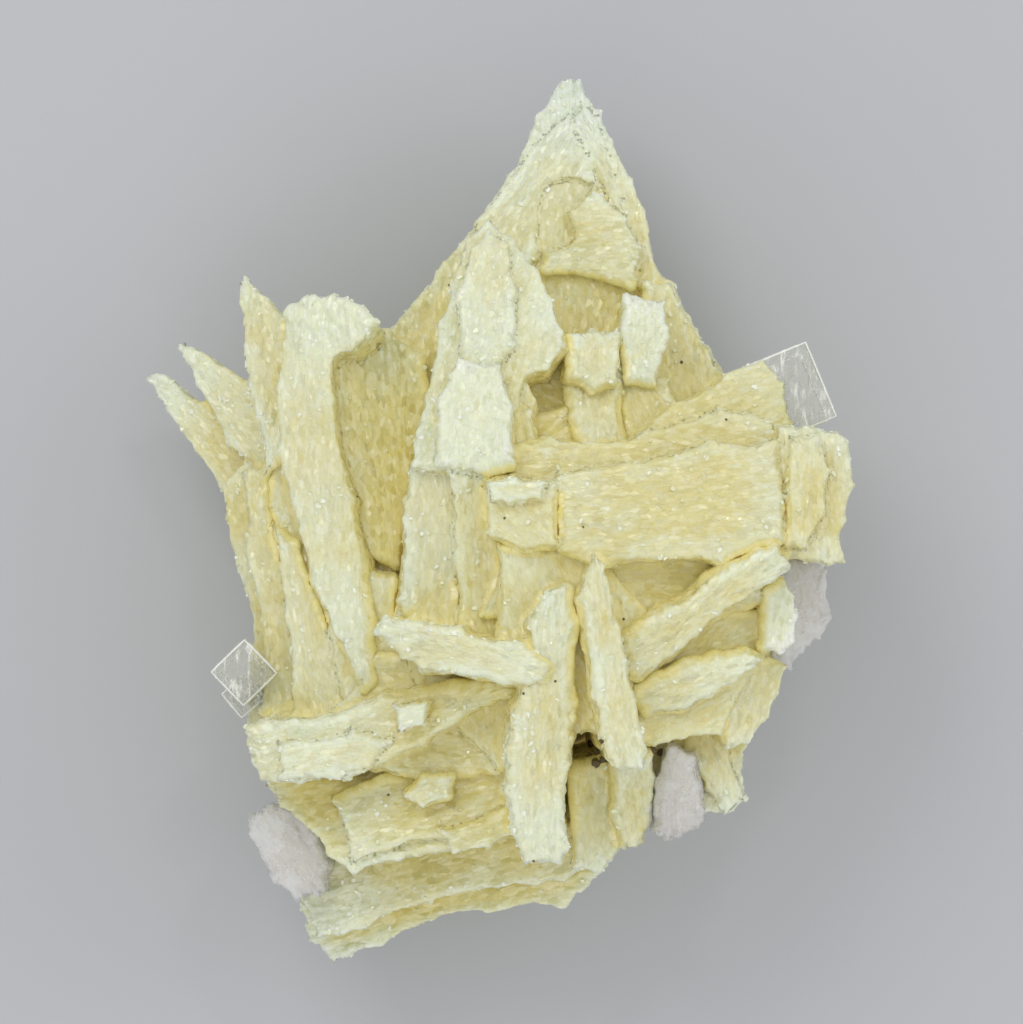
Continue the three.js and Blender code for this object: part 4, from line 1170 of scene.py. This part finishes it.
def small_crystal_tree():
    """Scatters small crystals on the open faces of the blades, thickest where they cluster."""
    tree, keys = new_geometry_tree("small_crystals", SMALL_CRYSTAL_INPUTS)
    net = Net(tree)
    hollow = net.add("GeometryNodeInputNamedAttribute", {"data_type": "FLOAT"}, {"Name": "hollow"})
    proud = net.add("GeometryNodeInputNamedAttribute", {"data_type": "FLOAT"}, {"Name": "proud"})
    place = net.add("GeometryNodeInputPosition") * (1 / MM)
    cluster = net.noise(place, 0.2, 2).between(0.42, 0.62, 0.12, 1)
    points = net.add("GeometryNodeDistributePointsOnFaces", {}, {
        "Mesh": input_value(net, "Geometry"), "Density": input_value(net, "Per area") * cluster
        * hollow.between(0.15, 0.55, 1, 0.1) * proud.between(-0.15, 0.25, 0.15, 1),
        "Seed": input_value(net, "Seed"),
    })
    turn = points.output("Rotation")
    lean = net.add("FunctionNodeRandomValue", {"data_type": "FLOAT_VECTOR"}, {
        "Min": (-0.6, -0.5, -3.1), "Max": (0.6, 0.5, 3.1), "ID": net.add("GeometryNodeInputIndex"),
    })
    size = net.add("FunctionNodeRandomValue", {"data_type": "FLOAT_VECTOR"}, {
        "Min": input_value(net, "Smallest"), "Max": input_value(net, "Largest"), "Seed": 3,
    })
    turned = net.add("FunctionNodeRotateRotation", {"rotation_space": "LOCAL"}, {
        "Rotation": turn, "Rotate By": net.add("FunctionNodeEulerToRotation", {}, {0: lean}),
    })
    crystal = net.add("GeometryNodeObjectInfo", {}, {"Object": input_value(net, "Crystal")}, "Geometry")
    crystals = net.add("GeometryNodeInstanceOnPoints", {}, {
        "Points": points, "Instance": crystal, "Rotation": turned, "Scale": size,
    })
    geometry = net.add("GeometryNodeRealizeInstances", {}, {"Geometry": crystals})
    held = held_in(net, net.add("GeometryNodeInputPosition"))
    geometry = net.add("GeometryNodeSetPosition", {}, {"Geometry": geometry, "Position": held})
    geometry = net.add("GeometryNodeSetMaterial", {}, {
        "Geometry": geometry, "Material": input_value(net, "Material"),
    })
    net.add("NodeGroupOutput", {}, {"Geometry": geometry})
    return tree, keys


def small_crystal_look():
    """The small crystals are clearer, whiter and glossier than the blades."""
    material, net = new_look("glossy_barite")
    place = net.place()
    tone = net.stored("tone")
    cloud = net.noise(place, 0.8, 2)
    # The stored tone carries the painted shade of the hollows, as well as the blades' own paleness.
    colour = net.mix(tone.between(0, 0.5), CREAM, net.mix(cloud.between(0.45, 0.6), PALE, FROST))
    shader = net.add("ShaderNodeBsdfPrincipled", {}, {
        "Base Color": colour, "Roughness": cloud.between(0.35, 0.65, 0.12, 0.4), "IOR": BARITE_IOR,
    })
    net.add("ShaderNodeOutputMaterial", {}, {"Surface": shader})
    return material


def grow_small_crystals(name, pieces, per_area, smallest, largest, seed):
    """Small crystals on the given pieces, as one mesh."""
    crystal = bpy.data.objects.new("small_crystal", lozenge_mesh())
    ground = bmesh.new()
    for piece in pieces:
        ground.from_mesh(piece.data)
    mesh = bpy.data.meshes.new(name)
    ground.to_mesh(mesh)
    ground.free()
    holder = bpy.data.objects.new(name, mesh)
    for item in (crystal, holder):
        bpy.context.scene.collection.objects.link(item)
    grow = holder.modifiers.new("grow", "NODES")
    grow.node_group = small_crystals
    values = {
        "Crystal": crystal, "Per area": per_area / MM ** 2, "Smallest": smallest, "Largest": largest,
        "Lowest": cad_low, "Highest": cad_high, "Material": glossy_barite, "Seed": seed,
    }
    for label, value in values.items():
        grow[small_keys[label]] = value
    holder.data = baked(holder)
    holder.data.name = name
    bpy.data.objects.remove(crystal)
    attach(holder, "root")


barite_pieces = [
    broken_back, back_blades, long_tip, middle_column, left_column,
    left_flank, cross_blade, pale_tablets, right_fan, lower_shingles,
    inner_mass,
]
small_crystals, small_keys = small_crystal_tree()
glossy_barite = small_crystal_look()
grow_small_crystals("small_crystals", barite_pieces, PER_SQUARE_MM, SMALLEST_SIZE, LARGEST_SIZE, 7)


# The clear fluorite cubes: one at the upper right behind the cross blade, two on the left rim.
# Each has sharp edges painted white as painted reflection, a low growth step on every face, and is clear
# right through.
EDGE_CUBES = [
    {"edge": 4.4, "corner": (-25.9, -13.4), "turn": 44, "towards": (1, -1), "high": 23.4},
    {"edge": 3, "corner": (-25, -15.4), "turn": 40, "towards": (1, -1), "high": 20.4},
]
CUBE_STEP = 0.06
CUBE_STEP_BORDER = 0.14
CUBE_BEVEL = 0.12
STEP_FROST = 0.6


def clear_fluorite_look():
    """Clear fluorite: almost colourless, with painted reflection: white on its edges, in a few streaks
    inside where cleavage planes throw light back, and faintly all over.
    """
    material, net = new_look("clear_fluorite")
    place = net.place()
    edge = net.stored("edge")
    frost = net.noise(place, 0.5, 4, 0.65)
    streak = net.noise(place * (1.9, 0.5, 0.6), 1, 3, 0.6)
    bump = net.add("ShaderNodeBump", {}, {
        "Strength": 0.5, "Distance": 0.15 * MM, "Height": net.noise(place, 0.9, 3, 0.55),
    })
    clear = net.add("ShaderNodeBsdfPrincipled", {}, {
        "Base Color": (0.97, 0.97, 0.93, 1), "Normal": bump, "IOR": FLUORITE_IOR,
        "Roughness": frost.between(0.5, 0.66, 0.03, 0.4), "Transmission Weight": 1,
    })
    white = net.add("ShaderNodeBsdfPrincipled", {}, {
        "Base Color": (0.95, 0.96, 0.9, 1), "Normal": bump, "Roughness": 0.3, "IOR": FLUORITE_IOR,
    })
    # Painted reflection: the bevelled edges, a few streaks inside and a faint veil all over are mixed
    # towards a white surface.
    painted_reflection = edge * 0.7 + streak.between(0.5, 0.68) * 0.55 + 0.18
    surface = net.add("ShaderNodeMixShader", {}, {"Fac": painted_reflection, 1: clear, 2: white})
    haze = net.add("ShaderNodeVolumeAbsorption", {}, {"Color": (0.9, 0.9, 0.74, 1), "Density": 8})
    net.add("ShaderNodeOutputMaterial", {}, {"Surface": surface, "Volume": haze})
    return material


def add_cube(ground, item):
    """One cube with a raised square on each face, and its edges taken off."""
    cube = bmesh.new()
    bmesh.ops.create_cube(cube, size=item["edge"] - 2 * CUBE_STEP)
    edges = cube.edges[:]
    bmesh.ops.bevel(cube, geom=edges, offset=CUBE_BEVEL, segments=2, affect="EDGES", profile=0.6)
    edge = cube.faces.layers.float.new("edge")
    sides = [face for face in cube.faces if face.calc_area() > item["edge"]]
    for face in cube.faces:
        face[edge] = face not in sides
    border = CUBE_STEP_BORDER * item["edge"]
    bmesh.ops.inset_individual(cube, faces=sides, thickness=border, depth=0)
    step = bmesh.ops.inset_individual(cube, faces=sides, thickness=CUBE_STEP, depth=CUBE_STEP)
    for face in step["faces"]:
        face[edge] = STEP_FROST
    cube.transform(Matrix.Rotation(math.radians(item["turn"]), 4, "Z"))
    cube.transform(Matrix.Translation(cube_middle(item)))
    cube.transform(Matrix.Translation(shift) @ Matrix.Scale(MM, 4))
    part = bpy.data.meshes.new("cube_part")
    cube.to_mesh(part)
    cube.free()
    ground.from_mesh(part)


def clear_cubes(name, items, node):
    """A group of clear cubes in place of its plain solid."""
    ground = bmesh.new()
    for item in items:
        add_cube(ground, item)
    mesh = bpy.data.meshes.new(name)
    ground.to_mesh(mesh)
    ground.free()
    mesh.materials.append(clear_fluorite)
    holder = bpy.data.objects.new(name, mesh)
    bpy.context.scene.collection.objects.link(holder)
    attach(holder, "root")
    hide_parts(node)


clear_fluorite = clear_fluorite_look()
clear_cubes("corner_cube", [CORNER_CUBE], "fluorite_corner_cube")
clear_cubes("edge_cubes", EDGE_CUBES, "fluorite_edge_cubes")


# The broken lilac fluorite: a frosted plate on the right, an etched chunk at the lower left
# and a ribbed wedge at the lower right. Light passes through them, but they are cloudy.
SIDE_PLATE = {
    "rim": [
        (25.4, -3), (28.4, -3.2), (29.4, -4.3), (29.6, -5.9), (30.2, -8.3), (28.8, -10.4), (26.1, -12.9),
        (24.4, -12.4), (24, -6),
    ],
    "front": 23.4, "back": 14.6, "slope": (-0.25, 0), "back_slope": (0.25, 0), "root": (20, -8),
    "shrink": 0.92, "bevel": 0.6,
}
LOWER_CHUNK = {
    "rim": [
        (-18.1, -33.9), (-20.1, -32.3), (-21.2, -30.1), (-22.3, -28.1), (-22.3, -26.6), (-20.8, -25.7),
        (-18, -26.2), (-16.6, -28.4), (-15.4, -31), (-15.8, -33.4),
    ],
    "front": 22.2, "back": 11, "slope": (0.1, -0.05), "back_slope": (0.1, -0.2), "root": (-10, -22),
    "shrink": 0.9, "bevel": 0.8,
}
WEDGE = {
    "rim": [
        (14.2, -27.8), (15.4, -28.5), (17.9, -27.4), (18.4, -26.2), (17.7, -21.4), (15.6, -20.2),
        (14.6, -23.4),
    ],
    "front": 28.6, "back": 19, "slope": (0, 0.1), "root": (12, -16), "shrink": 0.92, "bevel": 0.6,
}
LILAC_GRID = 0.18 * MM
LILAC_HEIGHTS = (0.16, 0.2, 0.16)


def lilac_fluorite_look():
    """Lilac fluorite: cloudy, grey-lilac inside and white where it is frosted."""
    material, net = new_look("lilac_fluorite")
    place = net.place()
    grain = net.stored("grain", "Vector")
    proud = net.stored("proud")
    frost = net.noise(place, 0.45, 4, 0.65) + proud * 0.35
    colour = net.mix(frost.between(0.5, 0.62), (0.87, 0.84, 0.8, 1), (0.97, 0.96, 0.93, 1))
    ribs = net.noise(grain * (0.5, 2.4, 1.2), 1, 3, 0.6) + net.facets(grain, (0.7, 0.45, 0.5), 1.2) * 0.4
    bump = net.add("ShaderNodeBump", {}, {"Strength": 0.7, "Distance": 0.25 * MM, "Height": ribs})
    shader = net.add("ShaderNodeBsdfPrincipled", {"subsurface_method": "RANDOM_WALK"}, {
        "Base Color": colour, "Roughness": frost.between(0.4, 0.62, 0.12, 0.6), "Normal": bump,
        "IOR": FLUORITE_IOR, "Transmission Weight": 0.3, "Subsurface Weight": 0.6,
        "Subsurface Radius": (1, 0.95, 0.9), "Subsurface Scale": 3 * MM,
    })
    net.add("ShaderNodeOutputMaterial", {}, {"Surface": shader})
    return material


lilac_look = lilac_fluorite_look()
for number, (name, piece, node) in enumerate([
    ("side_plate", SIDE_PLATE, "fluorite_side_plate"),
    ("lower_chunk", LOWER_CHUNK, "fluorite_lower_chunk"),
    ("wedge", WEDGE, "fluorite_wedge"),
], 101):
    kind = {"look": lilac_look, "slot": "lilac_fluorite", "node": node}
    grow_blades(name, [piece], number, 0, LILAC_GRID, LILAC_HEIGHTS, kind)


# The dark grains: a few specks of brown matrix, most of them in the pit beside the yellow block.
GRAINS = [
    (8.5, -19.9, 0.5), (9.1, -20.6, 0.65), (8.8, -21.5, 0.45), (9.5, -21.2, 0.4), (8.2, -20.9, 0.35),
    (9.3, -19.4, 0.3), (13.9, -20.4, 0.35), (14.5, -20.6, 0.4), (15.1, -20.8, 0.3), (16.5, 14.4, 0.16),
    (2.3, -15.2, 0.14), (5.1, -14.1, 0.12), (-12.6, 2.3, 0.12), (11.2, -8.6, 0.12), (-4.4, 21.4, 0.12),
    (20.4, 9.2, 0.13), (-9.8, -24.4, 0.14), (0.6, 0.4, 0.12), (7.6, -0.4, 0.1), (3.2, -30.1, 0.14),
]
GRAIN_FLATNESS = 0.7
TOP_OF_RAYS = 60 * MM


def dark_grains():
    """Small uneven lumps that lie on whatever blade is highest under them."""
    ground = bmesh.new()
    for number, (x, y, radius) in enumerate(GRAINS):
        start = Vector((x, y, 0)) * MM + shift
        start.z = TOP_OF_RAYS
        hits = [piece.ray_cast(start, Vector((0, 0, -1))) for piece in barite_pieces]
        spot = max((place for hit, place, normal, face in hits if hit), key=lambda place: place.z)
        lump = bmesh.ops.create_icosphere(ground, subdivisions=2, radius=radius * MM)["verts"]
        for index, vertex in enumerate(lump):
            vertex.co *= 0.7 + 0.5 * scatter(number, index)
            vertex.co.z *= GRAIN_FLATNESS
            vertex.co += spot
    mesh = bpy.data.meshes.new("dark_grains")
    ground.to_mesh(mesh)
    ground.free()
    return mesh


grain_paint = bpy.data.materials.new("brown_grain")
grain_paint.use_nodes = True
grain_net = Net(grain_paint.node_tree)
grain_place = grain_net.place()
grain_cloud = grain_net.noise(grain_place, 4, 2)
grain_colour = grain_net.mix(grain_cloud, (0.05, 0.035, 0.015, 1), (0.2, 0.15, 0.06, 1))
grain_shader = grain_paint.node_tree.nodes["Principled BSDF"]
grain_net.tree.links.new(grain_colour.socket, grain_shader.inputs["Base Color"])
grain_shader.inputs["Roughness"].default_value = 0.6
grains = bpy.data.objects.new("dark_grains", dark_grains())
grains.data.materials.append(grain_paint)
bpy.context.scene.collection.objects.link(grains)
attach(grains, "root")
